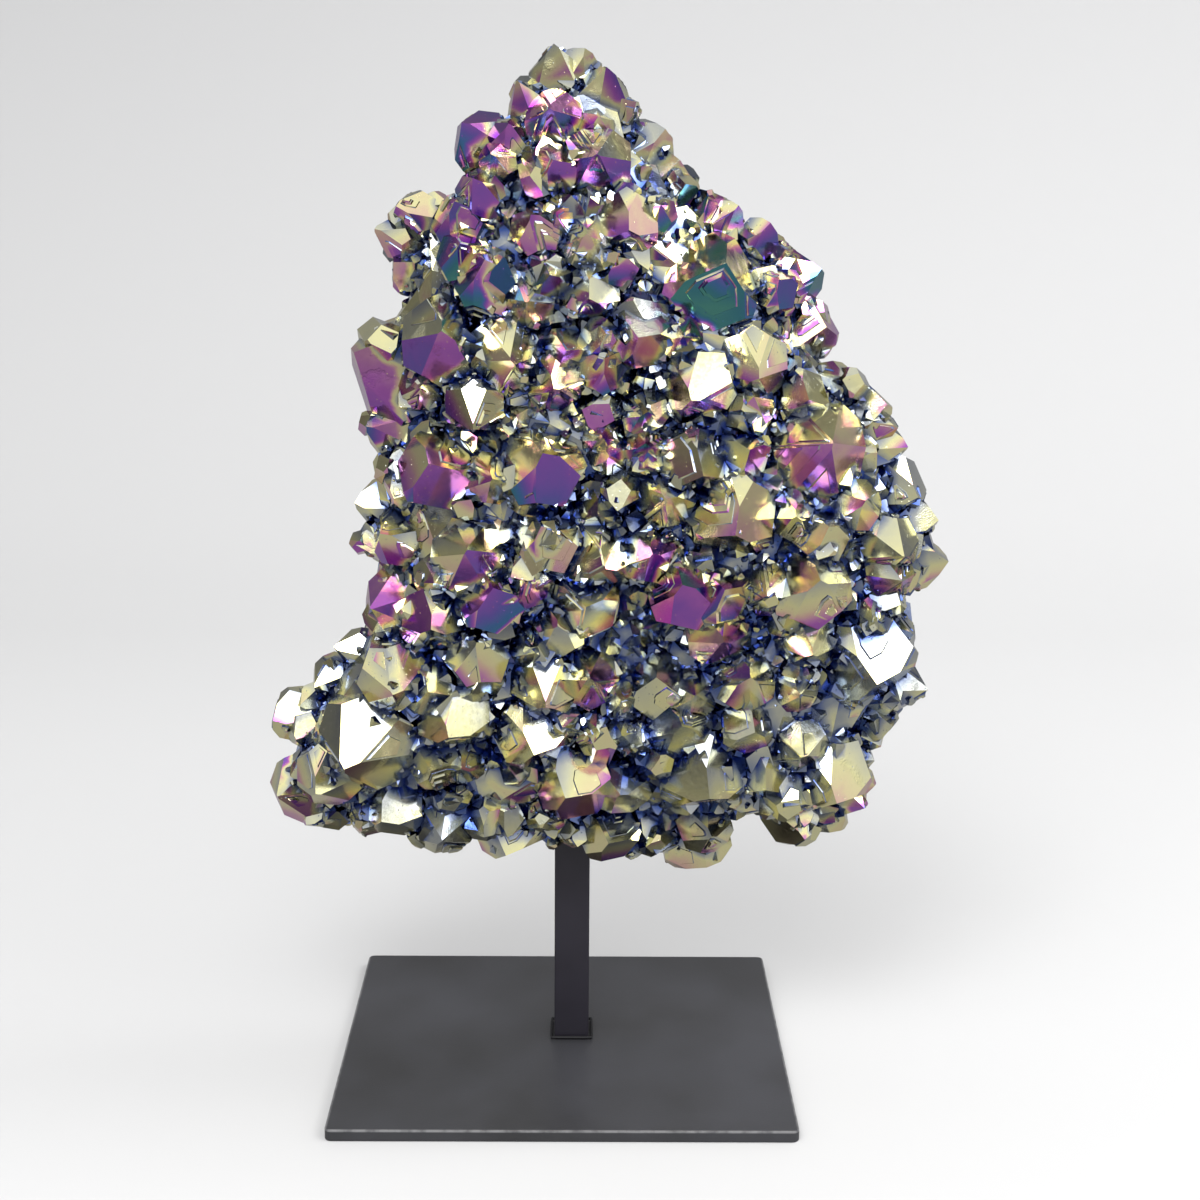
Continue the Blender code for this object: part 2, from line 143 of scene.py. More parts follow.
def run_tree(obj, tree, values, name):
    """Runs a geometry tree on an object and returns the result as a new, plain mesh."""
    modifier = obj.modifiers.new(tree.name, "NODES")
    modifier.node_group = tree
    for item in tree.interface.items_tree:
        if item.in_out == "INPUT" and item.name in values:
            modifier[item.identifier] = values[item.name]
    bpy.context.view_layer.update()
    mesh = bpy.data.meshes.new_from_object(obj.evaluated_get(bpy.context.evaluated_depsgraph_get()))
    mesh.name = name
    obj.modifiers.remove(modifier)
    return mesh


def mesh_object(name, mesh):
    made = bpy.data.objects.new(name, mesh)
    scene.collection.objects.link(made)
    return made


# %% [markdown]
# ## The faces of the stone
#
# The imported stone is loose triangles. Merging its points and dissolving the edges inside each
# flat area gives back what a crystal has: one polygon for one face. The copy is cut up again
# later, but the face that each small triangle came from is kept in an attribute, because the
# film takes one colour for one face.

# %% Faces of the stone
MERGE = 0.00001
COPLANAR = math.radians(1.2)

stone = bmesh.new()
stone.from_mesh(nodes["amethyst_cluster"].data)
bmesh.ops.remove_doubles(stone, verts=stone.verts, dist=MERGE)
bmesh.ops.dissolve_limit(
    stone, angle_limit=COPLANAR, verts=stone.verts, edges=stone.edges, use_dissolve_boundaries=False,
)
stone.faces.ensure_lookup_table()
areas = np.array([face.calc_area() for face in stone.faces]) / MM**2
print(f"{len(areas)} faces, the largest {areas.max():.0f} mm2")


# %% [markdown]
# ## Growth steps
#
# A quartz face is seldom one clean plane. It grows in layers, and where a layer stopped short it
# leaves a low step that runs parallel to the face's own edges. Each larger face gets one to
# three such layers: a smaller copy of its outline, drawn towards one corner and raised a little.

# %% Growth steps
STEP_SEED = 11
SMALLEST_STEPPED_AREA = 28
STEP_HEIGHT = (0.2, 0.55)
STEP_SHRINK = (0.4, 0.86)
STEPPED_SHARE = 0.36
STEPS_ON_A_FACE = (1, 1, 2, 3)
STEP_SLOPE = 1.1
STEP_ROOT = 0.1
MOST_INSET = 0.3
FACES_BACK = 0.35


def raised_layer(bm, outline, normal, low, high):
    """A thin plate over this outline, from under the level low up to high, its sides sloping."""
    middle = sum(outline, Vector()) / len(outline)
    radius = sum((corner - middle).length for corner in outline) / len(outline)
    inset = min(MOST_INSET, STEP_SLOPE * (high - low) / radius)
    foot = [bm.verts.new(corner + normal * (low - STEP_ROOT * MM)) for corner in outline]
    top = [bm.verts.new(corner.lerp(middle, inset) + normal * high) for corner in outline]
    bm.faces.new(top)
    bm.faces.new(foot[::-1])
    for index in range(len(outline)):
        after = (index + 1) % len(outline)
        bm.faces.new((foot[index], foot[after], top[after], top[index]))


def add_growth_steps(bm, source, chance):
    """Lays growth layers on the larger front faces and returns how many it made."""
    made = 0
    for face in source.faces:
        too_small = face.calc_area() < SMALLEST_STEPPED_AREA * MM**2
        if face.normal.y > FACES_BACK or too_small or chance.random() > STEPPED_SHARE:
            continue
        corners = [vert.co.copy() for vert in face.verts]
        anchor = chance.choice(corners).lerp(face.calc_center_median(), chance.uniform(0, 0.5))
        shrink, height = 1.0, 0.0
        for _ in range(chance.choice(STEPS_ON_A_FACE)):
            shrink *= chance.uniform(*STEP_SHRINK)
            low, height = height, height + chance.uniform(*STEP_HEIGHT) * MM
            outline = [anchor.lerp(corner, shrink) for corner in corners]
            raised_layer(bm, outline, face.normal, low, height)
            made += 1
    return made


steps = bmesh.new()
step_count = add_growth_steps(steps, stone, random.Random(STEP_SEED))
print(step_count, "growth layers")


# %% [markdown]
# ## The rock behind
#
# The crystals grew on rock, and the rock is still there at the back. It is found by spreading
# out from the rearmost face, over every edge that isn't a sharp inward corner: such a corner is
# where a crystal stands on the rock. It gets its own roughness and its own material below.

# %% Faces of rock
SHARPEST_INWARD_CORNER = math.radians(38)
LEAST_BACKWARD = 0.12
POST_CLEARANCE = 0.009
POST_PLACE = (0.0025, 0.0035)
POST_END = 0.14


def near_post(point):
    aside = max(abs(point.x - POST_PLACE[0]), abs(point.y - POST_PLACE[1]))
    return aside < POST_CLEARANCE and point.z < POST_END


def rock_faces(bm):
    """The numbers of all faces that belong to the rock. The spread stops at the post."""
    start = max(bm.faces, key=lambda face: face.calc_center_median().y)
    found, waiting = {start}, [start]
    while waiting:
        face = waiting.pop()
        for edge in face.edges:
            if edge.calc_face_angle_signed(0) < -SHARPEST_INWARD_CORNER:
                continue
            for other in edge.link_faces:
                if other not in found and other.normal.y > LEAST_BACKWARD:
                    found.add(other)
                    if not near_post(other.calc_center_median()):
                        waiting.append(other)
    return {face.index for face in found}


stone.faces.index_update()
rock = rock_faces(stone)
print(len(rock), "faces of rock,", round(sum(areas[list(rock)]) / 100), "cm2")


# %% [markdown]
# ## Bare patches between crystals
#
# The solid also shows a little rock at the front, in patches that crystals stand round. On the
# real stone small crystals cover them. A crystal's face is bounded mostly by ridges and a patch
# mostly by inward corners, so the share of the outline that turns inward tells them apart.

# %% Bare patches
FLAT_CORNER = math.radians(14)
LEAST_INWARD_SHARE = 0.78


def inward_share(face):
    """How much of a face's outline is an inward corner, from 0 to 1."""
    inward = ridged = 0.0
    for edge in face.edges:
        angle = edge.calc_face_angle_signed(0)
        inward += edge.calc_length() * (angle < -FLAT_CORNER)
        ridged += edge.calc_length() * (angle > FLAT_CORNER)
    return inward / (inward + ridged) if inward + ridged else 1.0


patches = {face.index for face in stone.faces if inward_share(face) > LEAST_INWARD_SHARE} - rock
print(len(patches), "bare patches,", round(sum(areas[list(patches)]) / 100), "cm2")


# %% [markdown]
# ## Cutting the faces up
#
# The film changes within a face, so the faces need points a few millimetres apart for the
# attributes to sit on. Halving only the edges that are too long keeps the triangles even. The
# rock is cut finer, because it is about to be roughened.

# %% Cut up
LONGEST_EDGE = 0.0027
LONGEST_ROCK_EDGE = 0.0018
CUTTING_PASSES = 5


def cut_up(bm, rocky):
    for _ in range(CUTTING_PASSES):
        bmesh.ops.triangulate(bm, faces=[face for face in bm.faces if len(face.verts) > 3])
        long_edges = []
        for edge in bm.edges:
            in_rock = all(face[rocky] for face in edge.link_faces)
            if edge.calc_length() > (LONGEST_ROCK_EDGE if in_rock else LONGEST_EDGE):
                long_edges.append(edge)
        bmesh.ops.subdivide_edges(bm, edges=long_edges, cuts=1)
    bmesh.ops.triangulate(bm, faces=[face for face in bm.faces if len(face.verts) > 3])


def numbered_and_cut(bm, rocks=frozenset(), patched=frozenset()):
    """Numbers the faces and marks rock and patches, so that each small triangle knows its face."""
    layers = bm.faces.layers.int
    for name in ("facet", "rocky", "patch"):
        layers.new(name)
    for index, face in enumerate(bm.faces):
        face[layers["facet"]] = index
        face[layers["rocky"]] = int(index in rocks)
        face[layers["patch"]] = int(index in patched)
    cut_up(bm, layers["rocky"])


numbered_and_cut(stone, rock, patches)
numbered_and_cut(steps)
print(len(stone.faces), "triangles in the stone,", len(steps.faces), "in the steps")


# %% [markdown]
# ## Broken rock
#
# Broken rock is rough at every size. Three layers of noise move its points: lumps of a
# centimetre, chips of a few millimetres in stepped levels, and grit. Points where the rock
# meets a crystal stay put, so nothing opens.

# %% Broken rock
LUMP_SIZE, LUMP_HEIGHT = 0.013, 0.0016
CHIP_SIZE, CHIP_HEIGHT, CHIP_LEVELS = 0.0065, 0.0013, 3
GRIT_SIZE, GRIT_HEIGHT = 0.0022, 0.00035
CHIP_SWIRL = 0.6
GRIT_ROUGHNESS, GRIT_OCTAVES = 0.8, 3
ROCK_SINK = 0.0006
ROCK_SEED = 5


def roughen(bm):
    """Moves the rock's points by lumps, flat chips and grit, and returns how many it moved."""
    noise.seed_set(ROCK_SEED)
    rocky = bm.faces.layers.int["rocky"]
    moved = []
    for vert in bm.verts:
        if not all(face[rocky] for face in vert.link_faces) or near_post(vert.co):
            continue
        lump = noise.noise(vert.co / LUMP_SIZE) * LUMP_HEIGHT
        chip_place = vert.co / CHIP_SIZE
        chip = noise.cell(chip_place + noise.noise_vector(chip_place) * CHIP_SWIRL)
        chip = round(chip * CHIP_LEVELS) / CHIP_LEVELS * CHIP_HEIGHT - CHIP_HEIGHT / 2
        grit = noise.fractal(vert.co / GRIT_SIZE, GRIT_ROUGHNESS, 2.0, GRIT_OCTAVES) * GRIT_HEIGHT
        moved.append((vert, vert.co + vert.normal * (lump + chip + grit - ROCK_SINK)))
    for vert, place in moved:
        vert.co = place
    return len(moved)


def as_mesh(bm, name):
    mesh = bpy.data.meshes.new(name)
    bm.to_mesh(mesh)
    bm.free()
    return mesh


print(roughen(stone), "points of rock moved")
stone_mesh = as_mesh(stone, "amethyst_crystals")
step_mesh = as_mesh(steps, "growth_steps")


# %% [markdown]
# ## Small crystals
#
# Between the large points sit thousands of small ones, down to a sugar of tiny crystals in the
# clefts. They are scattered by Geometry Nodes: points are spread over the stone, denser where it
# is hollow, and each gets one of a few ready-made points of quartz, turned and sized at random.

# %% A point of quartz
QUARTZ_FACE_ANGLE = math.radians(51.8)
POINT_KINDS = 5
POINT_SEED = 3
ROOT_GIRTH = 0.8
PRISM_LENGTH = 4
BROAD_APEX = (-0.1, 0.1)
NARROW_APEX = (0.1, 0.5)


def quartz_point(name, chance):
    """A six-sided prism of unit girth, cut to a point by six sloping faces, tip at +1."""
    bm = bmesh.new()
    bmesh.ops.create_cone(
        bm, cap_ends=True, segments=6, radius1=ROOT_GIRTH, radius2=1, depth=PRISM_LENGTH,
    )
    for side in range(6):
        bearing = math.radians(60 * side + 30)
        tilt = math.sin(QUARTZ_FACE_ANGLE)
        outward = (tilt * math.cos(bearing), tilt * math.sin(bearing), math.cos(QUARTZ_FACE_ANGLE))
        apex = 1 + chance.uniform(*(NARROW_APEX if side % 2 else BROAD_APEX))
        cut = bmesh.ops.bisect_plane(
            bm, geom=bm.verts[:] + bm.edges[:] + bm.faces[:], clear_outer=True,
            plane_co=(0, 0, apex), plane_no=outward,
        )
        rim = [piece for piece in cut["geom_cut"] if isinstance(piece, bmesh.types.BMEdge)]
        if rim:
            bmesh.ops.edgenet_fill(bm, edges=rim)
    bmesh.ops.recalc_face_normals(bm, faces=bm.faces)
    mesh = bpy.data.meshes.new(name)
    bm.to_mesh(mesh)
    bm.free()
    return mesh


point_chance = random.Random(POINT_SEED)
point_collection = bpy.data.collections.new("quartz_points")
scene.collection.children.link(point_collection)
for kind in range(POINT_KINDS):
    label = f"quartz_point_{kind}"
    shape = bpy.data.objects.new(label, quartz_point(label, point_chance))
    point_collection.objects.link(shape)
print(POINT_KINDS, "kinds of quartz point,", len(shape.data.polygons), "faces each")


# %% [markdown]
# ## Rays that point evenly all round
#
# Both the scatter and the film need to know how deep in a cleft a place lies. That is measured
# with rays, and the rays need directions that are spread evenly. Stepping down a ball in equal
# slices and turning by the golden angle each time gives them, with no chance in it.

# %% Rays
GOLDEN_ANGLE = 2.39996


def ray_direction(tree, number, rays):
    """The direction of one ray out of many that point evenly all round."""
    height = maths(tree, "SUBTRACT", 1.0, maths(
        tree, "DIVIDE", maths(tree, "MULTIPLY_ADD", number, 2.0, 1.0), rays,
    ))
    ring = maths(tree, "SQRT", maths(tree, "SUBTRACT", 1.0, maths(tree, "MULTIPLY", height, height)))
    bearing = maths(tree, "MULTIPLY", number, GOLDEN_ANGLE)
    return add(tree, "ShaderNodeCombineXYZ", {
        0: maths(tree, "MULTIPLY", ring, maths(tree, "COSINE", bearing)),
        1: maths(tree, "MULTIPLY", ring, maths(tree, "SINE", bearing)), 2: height,
    }).outputs[0]


print("each ray turns by", round(math.degrees(GOLDEN_ANGLE), 1), "degrees from the one before")


# %% [markdown]
# ## How open each place is
#
# This tree shoots the rays from every point of the mesh. A ray that soon hits the stone counts
# for a lot, one that hits it later counts for little, and what is left over is the openness: 1
# on an exposed face, near 0 in a crack. The faces are taken apart while it measures and welded
# again after it, so that two faces that meet can differ along their edge.

# %% Openness tree
SHARP_EDGE = 0.02
RAY_LIFT = 0.0001
RAY_INSET = 0.1
REJOIN = 0.000001


def stored(tree, geometry, name, value, domain):
    """The geometry with a named number stored on it."""
    return add(tree, "GeometryNodeStoreNamedAttribute", {
        "Geometry": geometry, "Name": name, "Value": value,
    }, domain=domain, data_type="FLOAT").outputs[0]


def openness_tree():
    tree, given, result = new_tree(
        "openness", "GeometryNodeTree",
        [
            ("Geometry", "NodeSocketGeometry", None), ("Obstacle", "NodeSocketObject", None),
            ("Rays", "NodeSocketInt", 48), ("Reach", "NodeSocketFloat", 0.006),
            ("Name", "NodeSocketString", "openness"),
        ],
        [("Geometry", "NodeSocketGeometry")],
    )
    obstacle = add(tree, "GeometryNodeObjectInfo", {"Object": given.outputs["Obstacle"]})
    angle = add(tree, "GeometryNodeInputMeshEdgeAngle").outputs["Unsigned Angle"]
    faces_apart = add(tree, "GeometryNodeSplitEdges", {
        "Mesh": given.outputs["Geometry"], "Selection": maths(tree, "GREATER_THAN", angle, SHARP_EDGE),
    }).outputs[0]
    normal = add(tree, "GeometryNodeInputNormal").outputs[0]
    place = add(tree, "GeometryNodeInputPosition").outputs[0]
    middle = add(
        tree, "GeometryNodeFieldOnDomain", {0: place}, domain="FACE", data_type="FLOAT_VECTOR",
    ).outputs[0]
    lifted = vector_maths(tree, "ADD", place, vector_maths(tree, "MULTIPLY", normal, (RAY_LIFT,) * 3))
    inward = vector_maths(tree, "SUBTRACT", middle, place)
    start = vector_maths(tree, "ADD", lifted, vector_maths(tree, "MULTIPLY", inward, (RAY_INSET,) * 3))

    loop_start = tree.nodes.new("GeometryNodeRepeatInput")
    loop_end = tree.nodes.new("GeometryNodeRepeatOutput")
    loop_start.pair_with_output(loop_end)
    loop_end.repeat_items.clear()
    loop_end.repeat_items.new("GEOMETRY", "Geometry")
    loop_end.repeat_items.new("FLOAT", "Seen")
    loop_end.repeat_items.new("FLOAT", "Weight")
    tree.links.new(given.outputs["Rays"], loop_start.inputs["Iterations"])
    tree.links.new(faces_apart, loop_start.inputs["Geometry"])

    ray = ray_direction(tree, loop_start.outputs["Iteration"], given.outputs["Rays"])
    cast = add(tree, "GeometryNodeRaycast", {
        "Target Geometry": obstacle.outputs["Geometry"], "Source Position": start,
        "Ray Direction": ray, "Ray Length": given.outputs["Reach"],
    })
    share = maths(tree, "DIVIDE", cast.outputs["Hit Distance"], given.outputs["Reach"])
    closeness = maths(tree, "MULTIPLY", cast.outputs["Is Hit"], maths(tree, "SUBTRACT", 1.0, share))
    weight = maths(tree, "MAXIMUM", vector_maths(tree, "DOT_PRODUCT", normal, ray), 0.0)
    seen = maths(tree, "MULTIPLY", weight, maths(tree, "SUBTRACT", 1.0, closeness))
    tree.links.new(maths(tree, "ADD", loop_start.outputs["Seen"], seen), loop_end.inputs["Seen"])
    tree.links.new(maths(tree, "ADD", loop_start.outputs["Weight"], weight), loop_end.inputs["Weight"])
    tree.links.new(loop_start.outputs["Geometry"], loop_end.inputs["Geometry"])

    name = given.outputs["Name"]
    seen_share = maths(tree, "DIVIDE", loop_end.outputs["Seen"], loop_end.outputs["Weight"])
    measured = stored(tree, loop_end.outputs["Geometry"], name, seen_share, "POINT")
    again = add(tree, "GeometryNodeInputNamedAttribute", {"Name": name}, data_type="FLOAT").outputs[0]
    smooth = add(tree, "GeometryNodeBlurAttribute", {0: again, "Iterations": 2}, data_type="FLOAT")
    smoothed = stored(tree, measured, name, smooth.outputs[0], "POINT")
    kept = stored(tree, smoothed, name, again, "CORNER")
    whole = add(tree, "GeometryNodeMergeByDistance", {"Geometry": kept, "Distance": REJOIN})
    tree.links.new(whole.outputs[0], result.inputs["Geometry"])
    return tree


openness = openness_tree()
print("openness tree:", len(openness.nodes), "nodes")


# %% [markdown]
# ## Openness of the bare stone
#
# The stone is measured once before the small crystals stand on it, over a reach of more than a
# centimetre. What it finds are the notches between the large crystals.

# %% Openness of the bare stone
HOLLOW_REACH = 0.014
HOLLOW_RAYS = 32


def joined_copy(name, objects):
    bm = bmesh.new()
    for obj in objects:
        bm.from_mesh(obj.data)
    mesh = bpy.data.meshes.new(name)
    bm.to_mesh(mesh)
    bm.free()
    return mesh_object(name, mesh)


def store_openness(objects, obstacles, name, reach, rays):
    """Measures every object against all the obstacles joined."""
    obstacle = joined_copy("obstacle", obstacles)
    values = {"Obstacle": obstacle, "Rays": rays, "Reach": reach, "Name": name}
    for obj in objects:
        obj.data = run_tree(obj, openness, values, obj.data.name)
    bpy.data.objects.remove(obstacle, do_unlink=True)


host = mesh_object("host", stone_mesh)
store_openness([host], [host], "hollow", HOLLOW_REACH, HOLLOW_RAYS)
hollow = np.empty(len(host.data.loops))
host.data.attributes["hollow"].data.foreach_get("value", hollow)
print("openness of the bare stone, tenths:", np.percentile(hollow, [5, 25, 50, 75, 95]).round(2))


# %% [markdown]
# ## Scattering the small crystals
#
# One tree makes every size of small crystal. The part of it that says where they may stand is a
# function of its own, because that is what is worth changing first. They stand in the notches and
# on the bare patches, and they are kept off the rock, the back and the post.

# %% Where small crystals stand
FRONT_FACING = (0.2, 0.6)
POST_MIDDLE = (*POST_PLACE, 0.07)
POST_SQUASH = (1.0, 1.0, 0.12)
POST_ROOM = 1.3


def named(tree, name, data_type):
    """Reads a number that an earlier step stored on the mesh."""
    return add(tree, "GeometryNodeInputNamedAttribute", {"Name": name}, data_type=data_type).outputs[0]


def share_of_crystals(tree, given):
    """How densely crystals stand at each place, from 0 to 1."""
    sheltered = add(tree, "ShaderNodeMapRange", {
        "Value": named(tree, "hollow", "FLOAT"), "From Min": given.outputs["Closed Below"],
        "From Max": given.outputs["Open Above"], "To Min": 1.0, "To Max": given.outputs["Stray Share"],
    }).outputs[0]
    patch = maths(tree, "MULTIPLY", named(tree, "patch", "INT"), given.outputs["Patch Share"])
    wanted = maths(tree, "MAXIMUM", sheltered, patch)
    normal = add(tree, "GeometryNodeInputNormal").outputs[0]
    front = add(tree, "ShaderNodeMapRange", {
        "Value": add(tree, "ShaderNodeSeparateXYZ", {0: normal}).outputs["Y"],
        "From Min": FRONT_FACING[0], "From Max": FRONT_FACING[1], "To Min": 1.0, "To Max": 0.0,
    }).outputs[0]
    place = add(tree, "GeometryNodeInputPosition").outputs[0]
    from_post = vector_maths(tree, "LENGTH", vector_maths(
        tree, "MULTIPLY", vector_maths(tree, "SUBTRACT", place, POST_MIDDLE), POST_SQUASH,
    ))
    clear = maths(tree, "GREATER_THAN", from_post, POST_CLEARANCE * POST_ROOM)
    allowed = maths(tree, "MULTIPLY", clear, maths(tree, "SUBTRACT", 1.0, named(tree, "rocky", "INT")))
    return maths(tree, "MULTIPLY", maths(tree, "MULTIPLY", wanted, front), allowed)


print("small crystals keep", round(POST_CLEARANCE * POST_ROOM / MM, 1), "mm from the post's middle")


# %% [markdown]
# ## One crystal for each point
#
# The points are spread at a least distance from each other, so no two crystals share a place.
# Each gets one of the quartz points, leaned outwards, spun and sunk into the stone by a share of
# its size. Most are small, because the dice are raised to a power.

# %% Scatter tree
SMALL_ONES_COMMONER = 2.2
FULL_TURN = 6.283


def random_number(tree, seed):
    """One number from 0 to 1 for each point."""
    return add(tree, "FunctionNodeRandomValue", {"Seed": seed}, data_type="FLOAT").outputs[1]


def scatter_tree():
    tree, given, result = new_tree(
        "scatter of crystals", "GeometryNodeTree",
        [
            ("Geometry", "NodeSocketGeometry", None), ("Points", "NodeSocketCollection", None),
            ("Spacing", "NodeSocketFloat", 0.003), ("Density", "NodeSocketFloat", 60000.0),
            ("Smallest", "NodeSocketFloat", 0.001), ("Largest", "NodeSocketFloat", 0.003),
            ("Closed Below", "NodeSocketFloat", 0.5), ("Open Above", "NodeSocketFloat", 0.85),
            ("Stray Share", "NodeSocketFloat", 0.02), ("Patch Share", "NodeSocketFloat", 1.0),
            ("Lean", "NodeSocketFloat", 0.5),
            ("Outward", "NodeSocketVector", (0.0, -0.7, 0.1)),
            ("Sunk", "NodeSocketFloat", 0.5), ("Seed", "NodeSocketInt", 1),
            ("Material", "NodeSocketMaterial", None),
        ],
        [("Geometry", "NodeSocketGeometry")],
    )
    spread = add(tree, "GeometryNodeDistributePointsOnFaces", {
        "Mesh": given.outputs["Geometry"], "Distance Min": given.outputs["Spacing"],
        "Density Max": given.outputs["Density"], "Density Factor": share_of_crystals(tree, given),
        "Seed": given.outputs["Seed"],
    }, distribute_method="POISSON")

    lean = add(tree, "FunctionNodeRandomValue", {
        "Min": (-1.0, -1.0, -1.0), "Max": (1.0, 1.0, 1.0), "Seed": given.outputs["Seed"],
    }, data_type="FLOAT_VECTOR").outputs[0]
    amount = add(tree, "ShaderNodeCombineXYZ", {axis: given.outputs["Lean"] for axis in range(3)})
    leaning = vector_maths(tree, "MULTIPLY", lean, amount.outputs[0])
    outward = vector_maths(tree, "ADD", spread.outputs["Normal"], given.outputs["Outward"])
    axis = vector_maths(tree, "ADD", outward, leaning)
    upright = add(tree, "FunctionNodeAlignRotationToVector", {"Vector": axis}, axis="Z").outputs[0]
    spin = add(tree, "FunctionNodeRandomValue", {3: FULL_TURN, "Seed": 5}, data_type="FLOAT").outputs[1]
    spun = add(tree, "FunctionNodeAxisAngleToRotation", {"Axis": (0.0, 0.0, 1.0), "Angle": spin})
    facing = add(
        tree, "FunctionNodeRotateRotation", {0: upright, 1: spun.outputs[0]}, rotation_space="LOCAL",
    ).outputs[0]
    size = add(tree, "ShaderNodeMapRange", {
        "Value": maths(tree, "POWER", random_number(tree, 9), SMALL_ONES_COMMONER),
        "To Min": given.outputs["Smallest"], "To Max": given.outputs["Largest"],
    }).outputs[0]
    crystals = add(tree, "GeometryNodeCollectionInfo", {
        "Collection": given.outputs["Points"], "Separate Children": True, "Reset Children": True,
    })
    sink = add(tree, "ShaderNodeVectorMath", {
        0: vector_maths(tree, "NORMALIZE", axis),
        "Scale": maths(tree, "MULTIPLY", size, maths(tree, "MULTIPLY", given.outputs["Sunk"], -1.0)),
    }, operation="SCALE").outputs[0]
    sunk_points = add(tree, "GeometryNodeSetPosition", {
        "Geometry": spread.outputs["Points"], "Offset": sink,
    })
    placed = add(tree, "GeometryNodeInstanceOnPoints", {
        "Points": sunk_points.outputs[0], "Instance": crystals.outputs[0], "Pick Instance": True,
        "Rotation": facing,
        "Scale": add(tree, "ShaderNodeCombineXYZ", {axis: size for axis in range(3)}).outputs[0],
    })
    marked = stored(tree, placed.outputs[0], "own", random_number(tree, 21), "INSTANCE")
    real = add(tree, "GeometryNodeRealizeInstances", {0: marked}).outputs[0]
    painted = add(tree, "GeometryNodeSetMaterial", {0: real, "Material": given.outputs["Material"]})
    tree.links.new(painted.outputs[0], result.inputs["Geometry"])
    return tree


scatter = scatter_tree()
print("scatter tree:", len(scatter.nodes), "nodes")


# %% [markdown]
# ## Three sizes of small crystal
#
# The tree runs three times with other numbers: for the points that cover the bare patches, for
# those of a few millimetres that fill the notches, and for the fine sugar in the clefts.

# %% Scatter the small crystals
film_material = bpy.data.materials.new("rainbow_film")


def scattered(name, **values):
    values = {label.replace("_", " "): value for label, value in values.items()}
    values |= {"Points": point_collection, "Material": film_material}
    return mesh_object(name, run_tree(host, scatter, values, name))


patch_crystals = scattered(
    "patch_crystals", Spacing=0.0038, Density=200000.0, Smallest=0.0036, Largest=0.0080,
    Closed_Below=-1.0, Open_Above=-0.5, Stray_Share=0.0, Lean=0.5, Sunk=0.3, Seed=6,
)
gap_crystals = scattered(
    "gap_crystals", Spacing=0.0048, Density=90000.0, Smallest=0.0030, Largest=0.0082,
    Closed_Below=0.76, Open_Above=0.95, Stray_Share=0.002, Patch_Share=0.0,
    Lean=0.35, Sunk=0.62, Seed=4,
)
sugar = scattered(
    "sugar_crystals", Spacing=0.0026, Density=300000.0, Smallest=0.0007, Largest=0.0025,
    Closed_Below=0.54, Open_Above=0.84, Stray_Share=0.006, Patch_Share=0.3,
    Lean=0.6, Sunk=0.4, Seed=8,
)
for small in (patch_crystals, gap_crystals, sugar):
    print(small.name, len(small.data.polygons), "faces")


# %% [markdown]
# ## How thick the film is
#
# The coating arrives as a vapour, so it is thickest on faces that looked towards its source and
# thinnest in the clefts. Each face gets one thickness: a little from the way it faces, a little
# from where it lies on the stone, and a little by chance. A few listed spots are the
# crystals that have turned clearly violet or teal.

# %% Film thickness
UP_FILM = 0.41
DOWN_FILM = 0.48
HIGH_UP_FILM = -0.05
HIGH_DOWN_FILM = 0.16
HIGH_FROM = 190
HIGH_SPAN = 100
UP_DOWN_TURN = 1.3
LEVEL_FACE = 0.05
FILM_CHANCE = 0.14
SPOT_PULL = 9
# across and up in millimetres, radius, film on faces that look up, film on faces that look down
SPOTS = (
    (46, 273, 20, 0.46, 0.92), (-61, 243, 18, 0.48, 0.72), (-7, 219, 14, 0.46, 0.78),
    (-41, 212, 14, 0.50, 0.74), (80, 221, 18, 0.46, 0.68), (51, 195, 15, 0.44, 0.56),
    (36, 177, 14, 0.76, 0.72), (-58, 168, 13, 0.66, 0.72), (-22, 176, 11, 0.68, 0.80),
    (-5, 316, 10, 0.62, 0.86), (12, 328, 10, 0.30, 0.88), (9, 304, 11, 0.46, 0.78),
    (18, 284, 10, 0.48, 0.74), (-33, 289, 12, 0.64, 0.76), (-27, 274, 10, 0.80, 0.90),
    (24, 221, 9, 0.60, 0.88), (12, 250, 10, 0.30, 0.84), (57, 241, 11, 0.46, 0.60),
    (76, 268, 11, 0.74, 0.90), (36, 235, 11, 0.50, 0.74), (-31, 309, 10, 0.74, 0.82),
    (0, 108, 14, 0.46, 0.64), (9, 146, 8, 0.52, 0.64), (104, 177, 9, 0.34, 0.66),
    (-91, 97, 9, 0.50, 0.64), (50, 159, 7, 0.62, 0.66), (-12, 183, 9, 0.46, 0.70),
    (99, 141, 17, 0.28, 0.36), (107, 199, 13, 0.36, 0.52), (36, 133, 12, 0.30, 0.40),
    (19, 103, 10, 0.22, 0.42), (-40, 92, 12, 0.26, 0.40), (97, 97, 8, 0.58, 0.64),
    (103, 184, 11, 0.44, 0.56), (78, 180, 11, 0.42, 0.52), (-12, 246, 14, 0.48, 0.56),
)


def film_of_faces(centres, normals, own):
    """One film thickness, 0 to 1, for each face."""
    height = np.clip((centres[:, 2] / MM - HIGH_FROM) / HIGH_SPAN, 0, 1)
    up = UP_FILM + HIGH_UP_FILM * height
    down = DOWN_FILM + HIGH_DOWN_FILM * height
    total = np.ones(len(centres))
    for across, level, radius, spot_up, spot_down in SPOTS:
        apart = (centres[:, 0] / MM - across) ** 2 + (centres[:, 2] / MM - level) ** 2
        pull = SPOT_PULL * np.exp(-((apart / radius**2) ** 2))
        up = up + pull * spot_up
        down = down + pull * spot_down
        total = total + pull
    up, down = up / total, down / total
    facing_down = np.clip(0.5 - UP_DOWN_TURN * (normals[:, 2] - LEVEL_FACE), 0, 1)
    return up + (down - up) * facing_down + (own - 0.5) * FILM_CHANCE


